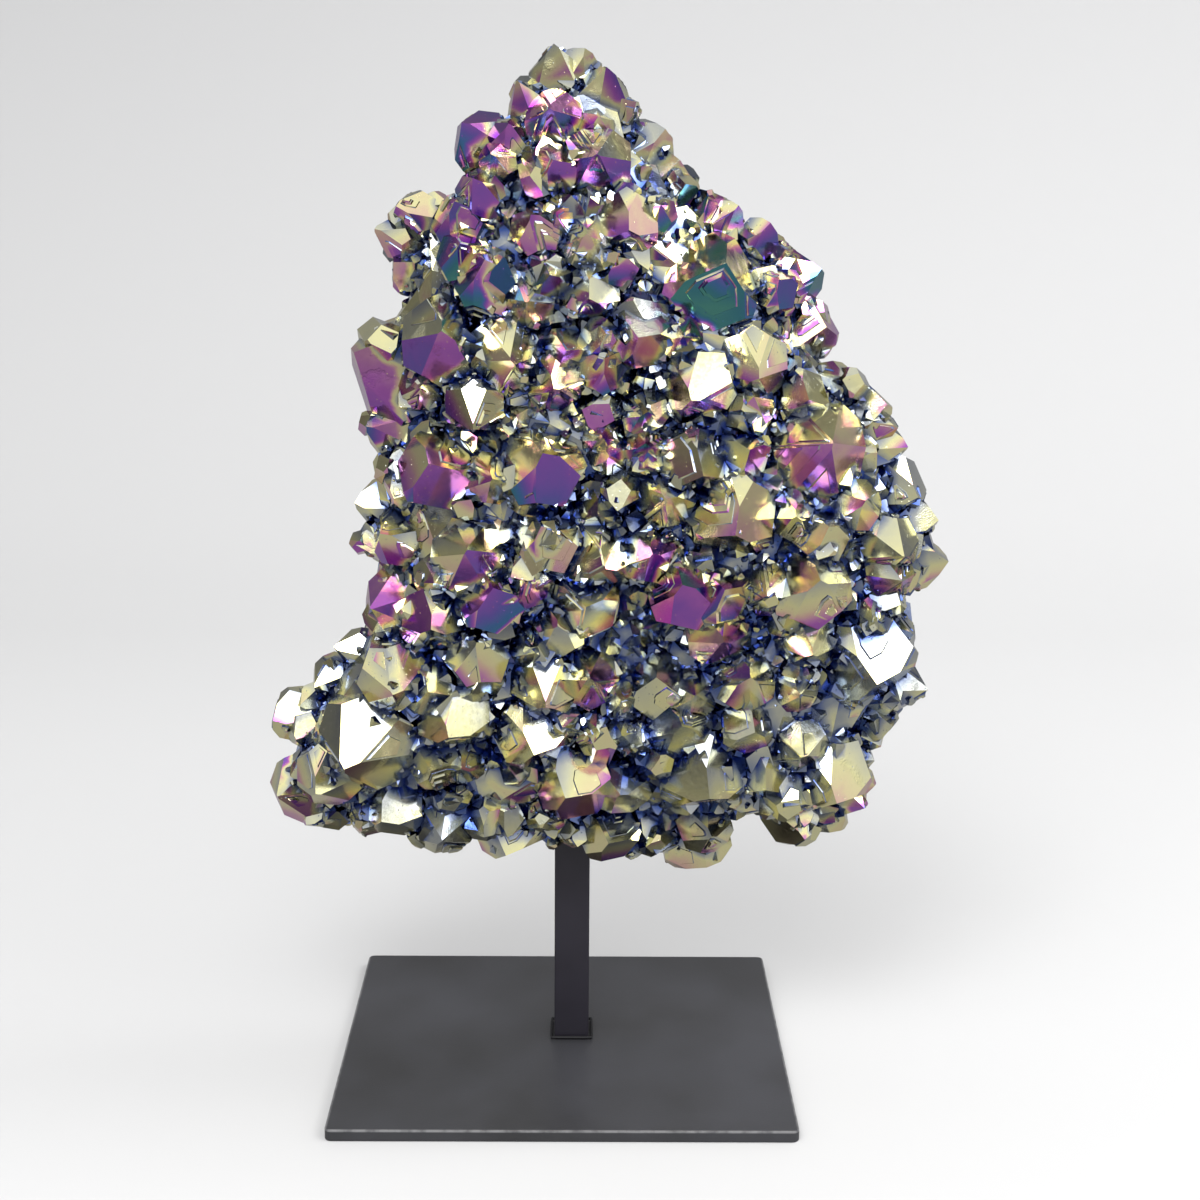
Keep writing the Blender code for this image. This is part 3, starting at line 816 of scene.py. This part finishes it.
print("film:", len(SPOTS), "spots, faces that look up", UP_FILM, "and down", DOWN_FILM)


# %% [markdown]
# ## The film within one face
#
# On many faces the colour also runs from one side to the other, because one side lay deeper among
# its neighbours and caught less vapour. So each face gets a slope of thickness in one direction,
# mostly downwards. Just under half of the faces show it clearly and the rest hardly at all.

# %% Film within a face
BANDED_SHARE = 0.45
BANDED_SPAN = 0.22
PLAIN_SPAN = 0.06
WEAKEST_BAND = 0.4
SLOPE_SCATTER = 0.6


def mean_by(numbers, vectors):
    """The mean of the vectors that share a number, for each number."""
    members = np.bincount(numbers).clip(1)[:, None]
    return np.stack([np.bincount(numbers, vectors[:, k]) for k in range(3)], 1) / members


def film_within_faces(points, numbers, normals, seed):
    """How much the film differs from its face's middle, at each triangle corner."""
    count = numbers.max() + 1
    chance = np.random.default_rng(seed)
    facing = mean_by(numbers, normals)
    slope = np.array((0, 0, -1.0)) + chance.normal(0, SLOPE_SCATTER, (count, 3))
    slope -= (slope * facing).sum(1)[:, None] * facing
    slope /= np.linalg.norm(slope, axis=1)[:, None] + 1e-9
    along = ((points - mean_by(numbers, points)[numbers]) * slope[numbers]).sum(1)
    reach = np.zeros(count)
    np.maximum.at(reach, numbers, np.abs(along))
    strength = np.where(chance.random(count) < BANDED_SHARE, BANDED_SPAN, PLAIN_SPAN)
    strength = strength * chance.uniform(WEAKEST_BAND, 1, count)
    return along / np.maximum(reach[numbers], 1e-6) * strength[numbers]


print("film within faces:", BANDED_SHARE, "of them banded, by", BANDED_SPAN)


# %% [markdown]
# ## Storing the film
#
# The thickness is kept at the corners of the triangles, not at the points. Two faces that meet in
# an edge can then differ there, and the colour changes sharply from one to the next.

# %% Film on the meshes
FILM_SEED = 5


def store(mesh, name, domain, values):
    attribute = mesh.attributes.get(name) or mesh.attributes.new(name, "FLOAT", domain)
    attribute.data.foreach_set("value", np.ascontiguousarray(values, dtype=np.float32))


def face_vectors(mesh, what):
    values = np.empty(len(mesh.polygons) * 3)
    mesh.polygons.foreach_get(what, values)
    return values.reshape(-1, 3)


def whole_numbers(collection, what):
    values = np.empty(len(collection), dtype=np.int32)
    collection.foreach_get(what, values)
    return values


def numbers_on_faces(mesh, name, dtype):
    """One number for each face, whether it was stored on faces or on points."""
    values = np.empty(len(mesh.attributes[name].data), dtype=dtype)
    mesh.attributes[name].data.foreach_get("value", values)
    if len(values) == len(mesh.polygons):
        return values
    first = whole_numbers(mesh.polygons, "loop_start")
    return values[whole_numbers(mesh.loops, "vertex_index")[first]]


def give_film_by_facet(mesh, seed):
    """Film for a mesh whose triangles know the face they were cut from."""
    facet = numbers_on_faces(mesh, "facet", np.int32)
    own = np.random.default_rng(seed).random(facet.max() + 1)
    middles, normals = face_vectors(mesh, "center"), face_vectors(mesh, "normal")
    film = film_of_faces(mean_by(facet, middles), mean_by(facet, normals), own)
    points = np.empty(len(mesh.vertices) * 3)
    mesh.vertices.foreach_get("co", points)
    at_corners = points.reshape(-1, 3)[whole_numbers(mesh.loops, "vertex_index")]
    sides = whole_numbers(mesh.polygons, "loop_total")
    number = np.repeat(facet, sides)
    within = film_within_faces(at_corners, number, np.repeat(normals, sides, axis=0), seed)
    store(mesh, "film", "CORNER", film[number] + within)


def give_film_by_crystal(mesh):
    """Film for small crystals, whose faces share one random number for each crystal."""
    own = numbers_on_faces(mesh, "own", np.float32)
    film = film_of_faces(face_vectors(mesh, "center"), face_vectors(mesh, "normal"), own)
    store(mesh, "film", "CORNER", np.repeat(film, whole_numbers(mesh.polygons, "loop_total")))


steps_piece = mesh_object("growth_steps", step_mesh)
host.name = "amethyst_crystals"
crystals_piece = host
give_film_by_facet(crystals_piece.data, FILM_SEED)
give_film_by_facet(steps_piece.data, FILM_SEED)
for piece in (patch_crystals, gap_crystals, sugar):
    give_film_by_crystal(piece.data)
print("film stored on", crystals_piece.name, "and", steps_piece.name, "and the small crystals")


# %% [markdown]
# ## Openness for the film
#
# The clefts are measured again now that the small crystals are in place, over a shorter reach,
# because the blue line of thin film beside a cleft is only a few millimetres wide. The same
# measure darkens the deepest clefts towards near-black, and that darkening is painted shade.

# %% Openness of the finished crystals
CREVICE_REACH = 0.011
CREVICE_RAYS = 40

crystal_pieces = (crystals_piece, steps_piece, patch_crystals, gap_crystals, sugar)
obstacles = (crystals_piece, patch_crystals, gap_crystals, sugar)
store_openness(crystal_pieces, obstacles, "openness", CREVICE_REACH, CREVICE_RAYS)
for shape in list(point_collection.objects):
    bpy.data.objects.remove(shape, do_unlink=True)
bpy.data.collections.remove(point_collection)
print("openness of", len(crystal_pieces), "pieces from", CREVICE_RAYS, "rays at each corner")


# %% [markdown]
# ## The rainbow film
#
# Light is reflected from the top and the bottom of the film, and the two reflections cancel some
# colours. As the film thickens the colour runs through blue, steel, gold, magenta, violet and
# teal. Below the blue the ramp starts at a near-black navy, which is painted shade for the
# deepest clefts. So the material is a metal whose colour comes from one number, the film's
# thickness, with the painted shade at its thin end.

# %% Film colours
# the near-black navy stops at the thin end are painted shade for the deepest clefts; the rest are film
# colours
FILM_COLOURS_AND_CLEFT_SHADE = (
    (0.00, (0.045, 0.046, 0.075)), (0.05, (0.045, 0.055, 0.13)), (0.10, (0.050, 0.095, 0.30)),
    (0.16, (0.14, 0.18, 0.34)), (0.23, (0.28, 0.315, 0.38)), (0.31, (0.44, 0.455, 0.43)),
    (0.38, (0.62, 0.62, 0.46)), (0.45, (0.83, 0.79, 0.42)), (0.51, (0.83, 0.71, 0.42)),
    (0.55, (0.78, 0.51, 0.43)), (0.59, (0.66, 0.31, 0.50)), (0.64, (0.48, 0.15, 0.52)),
    (0.70, (0.31, 0.12, 0.50)), (0.76, (0.17, 0.13, 0.46)), (0.82, (0.08, 0.18, 0.40)),
    (0.90, (0.06, 0.21, 0.26)), (1.00, (0.09, 0.28, 0.24)),
)


def fill_ramp(ramp, stops):
    elements = ramp.color_ramp.elements
    while len(elements) > 1:
        elements.remove(elements[-1])
    elements[0].position, elements[0].color = stops[0][0], (*stops[0][1], 1)
    for position, colour in stops[1:]:
        elements.new(position).color = (*colour, 1)


print("film colours:", len(FILM_COLOURS_AND_CLEFT_SHADE), "from the thinnest film to the thickest")


# %% [markdown]
# ## The surface under the film
#
# Quartz faces are seldom perfect mirrors. They carry pin-sized pits, and a few have frosted
# patches of fine flakes. These are small enough to be drawn by the material, as a height for the
# bump and as masks that thin the film and dull the polish.

# %% Crystal surface
PITTED_SHARE = 0.16
PIT_RIM = (0.10, 0.22)
FROST_EDGE = 0.07
FLAKE_HEIGHT = 2.4
PIT_DEPTH = -1.2


def noise_texture(tree, place, scale, detail):
    """A soft noise round 0.5, fixed to the object."""
    return add(tree, "ShaderNodeTexNoise", {
        "Vector": place, "Scale": scale, "Detail": detail,
    }).outputs["Fac"]


def surface_group():
    """Pits and frosted patches as two masks, and a height for the bump."""
    tree, given, result = new_tree(
        "crystal surface", "ShaderNodeTree",
        [
            ("Vector", "NodeSocketVector", None), ("Speck Scale", "NodeSocketFloat", 900.0),
            ("Frost Scale", "NodeSocketFloat", 2200.0), ("Frost Share", "NodeSocketFloat", 0.40),
        ],
        [("Specks", "NodeSocketFloat"), ("Frost", "NodeSocketFloat"), ("Height", "NodeSocketFloat")],
    )
    place = given.outputs["Vector"]
    cells = add(tree, "ShaderNodeTexVoronoi", {"Vector": place, "Scale": given.outputs["Speck Scale"]})
    chance = add(tree, "ShaderNodeSeparateColor", {0: cells.outputs["Color"]}).outputs[0]
    chosen = maths(tree, "LESS_THAN", chance, PITTED_SHARE)
    near = add(tree, "ShaderNodeMapRange", {
        "Value": cells.outputs["Distance"], "From Min": PIT_RIM[0], "From Max": PIT_RIM[1],
        "To Min": 1.0, "To Max": 0.0,
    }).outputs[0]
    specks = maths(tree, "MULTIPLY", chosen, near)
    frost = add(tree, "ShaderNodeMapRange", {
        "Value": noise_texture(tree, place, 75.0, 3.0), "From Min": given.outputs["Frost Share"],
        "From Max": maths(tree, "SUBTRACT", given.outputs["Frost Share"], FROST_EDGE),
        "To Min": 0.0, "To Max": 1.0,
    }).outputs[0]
    flakes = add(tree, "ShaderNodeTexVoronoi", {
        "Vector": place, "Scale": given.outputs["Frost Scale"], "Randomness": 1.0,
    }).outputs["Distance"]
    flaky = maths(tree, "MULTIPLY", maths(tree, "MULTIPLY", frost, flakes), FLAKE_HEIGHT)
    dents = maths(tree, "MULTIPLY_ADD", specks, PIT_DEPTH, flaky)
    height = maths(tree, "ADD", noise_texture(tree, place, 160.0, 3.0), dents)
    tree.links.new(specks, result.inputs["Specks"])
    tree.links.new(frost, result.inputs["Frost"])
    tree.links.new(height, result.inputs["Height"])
    return tree


crystal_surface = surface_group()
print("crystal surface:", len(crystal_surface.nodes), "nodes")


# %% [markdown]
# ## The film itself
#
# The stored thickness is made uneven by a slow drift, thinned in the clefts by the openness and
# thinned a little in each pit. The ramp turns it into the metal's colour. In the deepest clefts
# this reaches the ramp's near-black end, so the openness also paints shade there.

# %% Film material
FILM_DRIFT = 0.12
CLEFT_TO_OPEN = (0.155, 0.88)
PIT_FILM = -0.14
POLISH = 0.05
POLISH_GRAIN = 0.16
FROST_DULLNESS = 0.12
BUMP_HEIGHT = 0.00003


def build_film(material):
    material.use_nodes = True
    tree = material.node_tree
    shader = tree.nodes["Principled BSDF"]
    place = add(tree, "ShaderNodeTexCoord").outputs["Object"]
    surface = add(tree, "ShaderNodeGroup", {}, node_tree=crystal_surface)
    tree.links.new(place, surface.inputs["Vector"])
    film = add(tree, "ShaderNodeAttribute", attribute_name="film").outputs["Fac"]
    openness_here = add(tree, "ShaderNodeAttribute", attribute_name="openness").outputs["Fac"]
    drift = maths(tree, "SUBTRACT", noise_texture(tree, place, 90.0, 3.0), 0.5)
    uneven = maths(tree, "MULTIPLY_ADD", drift, FILM_DRIFT, film)
    # the openness thins the film in clefts and, at the ramp's dark end, paints shade into them
    cleft_thinning_and_painted_shade = add(tree, "ShaderNodeMapRange", {
        "Value": openness_here, "From Min": CLEFT_TO_OPEN[0], "From Max": CLEFT_TO_OPEN[1],
        "To Min": 0.0, "To Max": 1.0,
    }).outputs[0]
    film_with_painted_cleft_shade = maths(tree, "MULTIPLY", uneven, cleft_thinning_and_painted_shade)
    worn = maths(tree, "MULTIPLY_ADD", surface.outputs["Specks"], PIT_FILM, film_with_painted_cleft_shade)
    ramp = add(tree, "ShaderNodeValToRGB", {0: worn})
    fill_ramp(ramp, FILM_COLOURS_AND_CLEFT_SHADE)
    tree.links.new(ramp.outputs["Color"], shader.inputs["Base Color"])
    shader.inputs["Metallic"].default_value = 1.0
    polish = maths(tree, "MULTIPLY_ADD", noise_texture(tree, place, 700.0, 4.0), POLISH_GRAIN, POLISH)
    rough = maths(tree, "MULTIPLY_ADD", surface.outputs["Frost"], FROST_DULLNESS, polish)
    tree.links.new(rough, shader.inputs["Roughness"])
    bump = add(tree, "ShaderNodeBump", {
        "Height": surface.outputs["Height"], "Strength": 1.0, "Distance": BUMP_HEIGHT,
    })
    tree.links.new(bump.outputs[0], shader.inputs["Normal"])


build_film(film_material)
print("film material:", len(film_material.node_tree.nodes), "nodes")


# %% [markdown]
# ## Coated rock
#
# The film reached the back of the rock only as a thin overspray. It is dull there, dark grey to
# brown with a steel-blue and bronze sheen where chips of rock face outwards.

# %% Rock material
ROCK_COLOURS = (
    (0.30, (0.034, 0.032, 0.034)), (0.44, (0.066, 0.061, 0.060)), (0.53, (0.070, 0.080, 0.105)),
    (0.60, (0.13, 0.115, 0.085)), (0.72, (0.20, 0.17, 0.125)),
)
ROCK_METAL = 0.7
ROCK_POLISH = 0.32
ROCK_GRAIN = 0.35


def coated_rock():
    material = bpy.data.materials.new("coated_rock")
    material.use_nodes = True
    tree = material.node_tree
    shader = tree.nodes["Principled BSDF"]
    place = add(tree, "ShaderNodeTexCoord").outputs["Object"]
    blotches = add(tree, "ShaderNodeTexNoise", {
        "Vector": place, "Scale": 130.0, "Detail": 6.0, "Distortion": 0.8,
    }).outputs["Fac"]
    ramp = add(tree, "ShaderNodeValToRGB", {0: blotches})
    fill_ramp(ramp, ROCK_COLOURS)
    tree.links.new(ramp.outputs["Color"], shader.inputs["Base Color"])
    grain = noise_texture(tree, place, 900.0, 4.0)
    rough = maths(tree, "MULTIPLY_ADD", grain, ROCK_GRAIN, ROCK_POLISH)
    tree.links.new(rough, shader.inputs["Roughness"])
    shader.inputs["Metallic"].default_value = ROCK_METAL
    bump = add(tree, "ShaderNodeBump", {"Height": grain, "Strength": 0.8, "Distance": 0.0004})
    tree.links.new(bump.outputs[0], shader.inputs["Normal"])
    return material


for piece in crystal_pieces:
    piece.data.materials.clear()
    piece.data.materials.append(film_material)
    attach(piece, "root")
crystals_piece.data.materials.append(coated_rock())
is_rock = numbers_on_faces(crystals_piece.data, "rocky", np.int32)
crystals_piece.data.polygons.foreach_set("material_index", is_rock)
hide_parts("amethyst_cluster")
print("rock:", int(is_rock.sum()), "of", len(is_rock), "triangles of", crystals_piece.name)


# %% [markdown]
# ## Black steel
#
# The stand is mild steel under a satin black lacquer. The lacquer is thin: it lies in faint
# clouds, and along the plate's edges it is worn, so that a grey line shows there. The weld is
# matt and darker.

# %% Edge wear
PLATE_HALF_WIDTH = 0.076
PLATE_HALF_DEPTH = 0.0635
PLATE_TOP = 0.004
INNER_FADE = -0.35
WEAR_BELOW_TOP = (0.0008, 0.0004)


def edge_wear_group():
    """1 on the upper edges of the plate and 0 elsewhere, broken up by noise."""
    tree, given, result = new_tree(
        "edge wear", "ShaderNodeTree",
        [("Vector", "NodeSocketVector", None), ("Width", "NodeSocketFloat", 0.0009)],
        [("Wear", "NodeSocketFloat")],
    )
    axes = add(tree, "ShaderNodeSeparateXYZ", {0: given.outputs["Vector"]}).outputs
    past_side = maths(tree, "SUBTRACT", maths(tree, "ABSOLUTE", axes["X"]), PLATE_HALF_WIDTH)
    past_front = maths(tree, "SUBTRACT", maths(tree, "ABSOLUTE", axes["Y"]), PLATE_HALF_DEPTH)
    outermost = maths(tree, "MAXIMUM", past_side, past_front)
    near_rim = add(tree, "ShaderNodeMapRange", {
        "Value": outermost, "From Min": maths(tree, "MULTIPLY", given.outputs["Width"], -1.0),
        "From Max": maths(tree, "MULTIPLY", given.outputs["Width"], INNER_FADE),
        "To Min": 0.0, "To Max": 1.0,
    }).outputs[0]
    near_top = add(tree, "ShaderNodeMapRange", {
        "Value": axes["Z"], "From Min": PLATE_TOP - WEAR_BELOW_TOP[0],
        "From Max": PLATE_TOP - WEAR_BELOW_TOP[1], "To Min": 0.0, "To Max": 1.0,
    }).outputs[0]
    on_plate = maths(tree, "LESS_THAN", axes["Z"], PLATE_TOP + 0.0002)
    patchy = add(tree, "ShaderNodeMapRange", {
        "Value": noise_texture(tree, given.outputs["Vector"], 260.0, 4.0),
        "From Min": 0.30, "From Max": 0.55, "To Min": 0.25, "To Max": 1.0,
    }).outputs[0]
    wear = maths(tree, "MULTIPLY", maths(tree, "MULTIPLY", near_rim, near_top), on_plate)
    tree.links.new(maths(tree, "MULTIPLY", wear, patchy), result.inputs["Wear"])
    return tree


edge_wear = edge_wear_group()
print("edge wear:", len(edge_wear.nodes), "nodes")


# %% [markdown]
# ## Lacquer
#
# One recipe serves the plate, the bar and the weld. They differ only in how dark and how matt they
# are, and only the plate shows worn edges.

# %% Steel material
WORN_STEEL = (0.22, 0.22, 0.225, 1)
LACQUER_METAL = 0.25
LACQUER_CLOUDS = 0.30
LACQUER_GRAIN = 0.12


def steel(name, dark, light, roughness, wear):
    material = bpy.data.materials.new(name)
    material.use_nodes = True
    tree = material.node_tree
    shader = tree.nodes["Principled BSDF"]
    place = add(tree, "ShaderNodeTexCoord").outputs["Object"]
    clouds = noise_texture(tree, place, 22.0, 6.0)
    ramp = add(tree, "ShaderNodeValToRGB", {0: clouds})
    fill_ramp(ramp, ((0.34, dark), (0.66, light)))
    worn = add(tree, "ShaderNodeGroup", {}, node_tree=edge_wear)
    tree.links.new(place, worn.inputs["Vector"])
    share = maths(tree, "MULTIPLY", worn.outputs["Wear"], wear)
    colour = add(tree, "ShaderNodeMix", {
        "Factor": share, "A": ramp.outputs["Color"], "B": WORN_STEEL,
    }, data_type="RGBA")
    tree.links.new(colour.outputs["Result"], shader.inputs["Base Color"])
    shader.inputs["Metallic"].default_value = LACQUER_METAL
    grain = noise_texture(tree, place, 1500.0, 3.0)
    cloudiness = maths(tree, "SUBTRACT", clouds, 0.5)
    cloudy = maths(tree, "MULTIPLY_ADD", cloudiness, LACQUER_CLOUDS, roughness)
    rough = maths(tree, "MULTIPLY_ADD", grain, LACQUER_GRAIN, cloudy)
    tree.links.new(rough, shader.inputs["Roughness"])
    bump = add(tree, "ShaderNodeBump", {"Height": grain, "Strength": 0.5, "Distance": 0.00004})
    tree.links.new(bump.outputs[0], shader.inputs["Normal"])
    return material


# dark colour, light colour, roughness, wear of the edges
STAND_FINISH = {
    "base_plate": steel(
        "black_lacquered_plate", (0.042, 0.042, 0.045), (0.064, 0.065, 0.074), 0.30, 1.0,
    ),
    "post": steel(
        "black_lacquered_post", (0.020, 0.018, 0.025), (0.034, 0.031, 0.044), 0.34, 0.0,
    ),
    "weld_bead": steel(
        "matt_black_weld", (0.006, 0.006, 0.008), (0.012, 0.012, 0.014), 0.55, 0.0,
    ),
}
for name, finish in STAND_FINISH.items():
    nodes[name].data.materials.clear()
    nodes[name].data.materials.append(finish)
    print(name, "in", finish.name)


# %% [markdown]
# ## The studio
#
# A metal shows mostly what stands round it, so the surroundings matter as much as the colours. The
# cluster stands on a pale backdrop that curves up behind it. Crystals mirror that backdrop darker
# than the camera sees it, or their undersides would look washed out.

# %% Backdrop
BACKDROP_TONE = 0.61
MIRRORED_TONE = 0.28
NEAR_END, CURVE_START = -1.6, 0.55
CURVE_RADIUS = 0.5
HALF_WIDTH = 2.2
WALL_TOP = 2.2


def backdrop_material():
    """A matt pale surface that mirrors show darker than the camera sees it."""
    material = bpy.data.materials.new("pale_backdrop")
    material.use_nodes = True
    tree = material.node_tree
    shader = tree.nodes["Principled BSDF"]
    mirrored = add(tree, "ShaderNodeLightPath").outputs["Is Glossy Ray"]
    tone = add(tree, "ShaderNodeMix", {
        "Factor": mirrored, "A": (BACKDROP_TONE,) * 3 + (1,), "B": (MIRRORED_TONE,) * 3 + (1,),
    }, data_type="RGBA")
    tree.links.new(tone.outputs["Result"], shader.inputs["Base Color"])
    shader.inputs["Roughness"].default_value = 0.9
    return material


def sweep():
    """A floor that curves up into a wall behind the object."""
    bm = bmesh.new()
    profile = [(NEAR_END, 0.0), (CURVE_START, 0.0)]
    for turn in np.linspace(0.2, math.pi / 2, 12):
        profile.append((
            CURVE_START + CURVE_RADIUS * math.sin(turn), CURVE_RADIUS - CURVE_RADIUS * math.cos(turn),
        ))
    profile.append((CURVE_START + CURVE_RADIUS, WALL_TOP))
    for across in (-HALF_WIDTH, HALF_WIDTH):
        for y, z in profile:
            bm.verts.new((across, y, z))
    bm.verts.ensure_lookup_table()
    count = len(profile)
    for index in range(count - 1):
        bm.faces.new([bm.verts[i] for i in (index, count + index, count + index + 1, index + 1)])
    bmesh.ops.recalc_face_normals(bm, faces=bm.faces)
    mesh = bpy.data.meshes.new("backdrop")
    bm.to_mesh(mesh)
    bm.free()
    for polygon in mesh.polygons:
        polygon.use_smooth = True
    made = mesh_object("backdrop", mesh)
    mesh.materials.append(backdrop_material())
    return made


sweep()
print("backdrop: floor", CURVE_START - NEAR_END, "m deep, wall", WALL_TOP, "m high")


# %% [markdown]
# ## Lights
#
# One large soft light stands up to the left and does most of the work, with a smaller, stronger
# one inside it for the crisp glints. A weak light on the right opens the shaded side, and another
# evens out the backdrop.

# %% Lights
AIM = (0.01, 0.0, 0.2)


def area_light(name, place, aim, size, power):
    light = bpy.data.lights.new(name, "AREA")
    light.shape = "RECTANGLE"
    light.size, light.size_y = size
    light.energy = power
    lamp = bpy.data.objects.new(name, light)
    scene.collection.objects.link(lamp)
    lamp.location = place
    lamp.rotation_euler = (Vector(aim) - Vector(place)).to_track_quat("-Z", "Y").to_euler()
    return lamp


scene.view_settings.view_transform = "Standard"
lamps = (
    area_light("soft_light", (-0.18, -0.78, 1.10), AIM, (1.0, 0.72), 6.4),
    area_light("soft_light_core", (-0.22, -0.72, 1.02), AIM, (0.42, 0.34), 3.8),
    area_light("side_light", (0.85, -0.45, 0.85), AIM, (0.5, 0.35), 2.4),
    area_light("backdrop_light", (1.0, 0.1, 1.3), (0.8, 0.8, 0.1), (0.9, 0.5), 8),
)
print("lights:", {lamp.name: round(lamp.data.energy, 1) for lamp in lamps})


# %% [markdown]
# ## What the metal mirrors
#
# Beyond the lights the crystals mirror the world: dark below, bright above, and a little brighter
# to the right and towards the camera. The camera itself sees an even pale grey there.

# %% World
SKY_RISE = 0.5
SKY_TO_THE_RIGHT = 0.09
SKY_TO_THE_BACK = -0.06
SKY_TONES = (
    (0.0, (0.09, 0.09, 0.10)), (0.5, (0.14, 0.14, 0.155)), (0.61, (0.38, 0.38, 0.40)),
    (0.70, (0.85, 0.85, 0.88)), (0.80, (1.05, 1.05, 1.05)),
)
SEEN_BY_CAMERA = (0.80, 0.80, 0.81, 1)

world = bpy.data.worlds.new("studio")
scene.world = world
world.use_nodes = True
sky = world.node_tree
above = add(sky, "ShaderNodeTexCoord").outputs["Generated"]
axes = add(sky, "ShaderNodeSeparateXYZ", {0: above}).outputs
back = maths(sky, "MULTIPLY_ADD", axes["Y"], SKY_TO_THE_BACK, 0.5)
lean = maths(sky, "MULTIPLY_ADD", axes["X"], SKY_TO_THE_RIGHT, back)
level = maths(sky, "MULTIPLY_ADD", axes["Z"], SKY_RISE, lean)
ramp = add(sky, "ShaderNodeValToRGB", {0: level})
fill_ramp(ramp, SKY_TONES)
direct = add(sky, "ShaderNodeLightPath").outputs["Is Camera Ray"]
seen = add(sky, "ShaderNodeMix", {
    "Factor": direct, "A": ramp.outputs["Color"], "B": SEEN_BY_CAMERA,
}, data_type="RGBA")
sky.links.new(seen.outputs["Result"], sky.nodes["Background"].inputs["Color"])
print("world:", len(SKY_TONES), "tones from below to above")


# %% [markdown]
# ## Size
#
# The number of triangles in each dressed piece is printed.

# %% Finish
print("triangles:", {piece.name: len(piece.data.polygons) for piece in crystal_pieces})
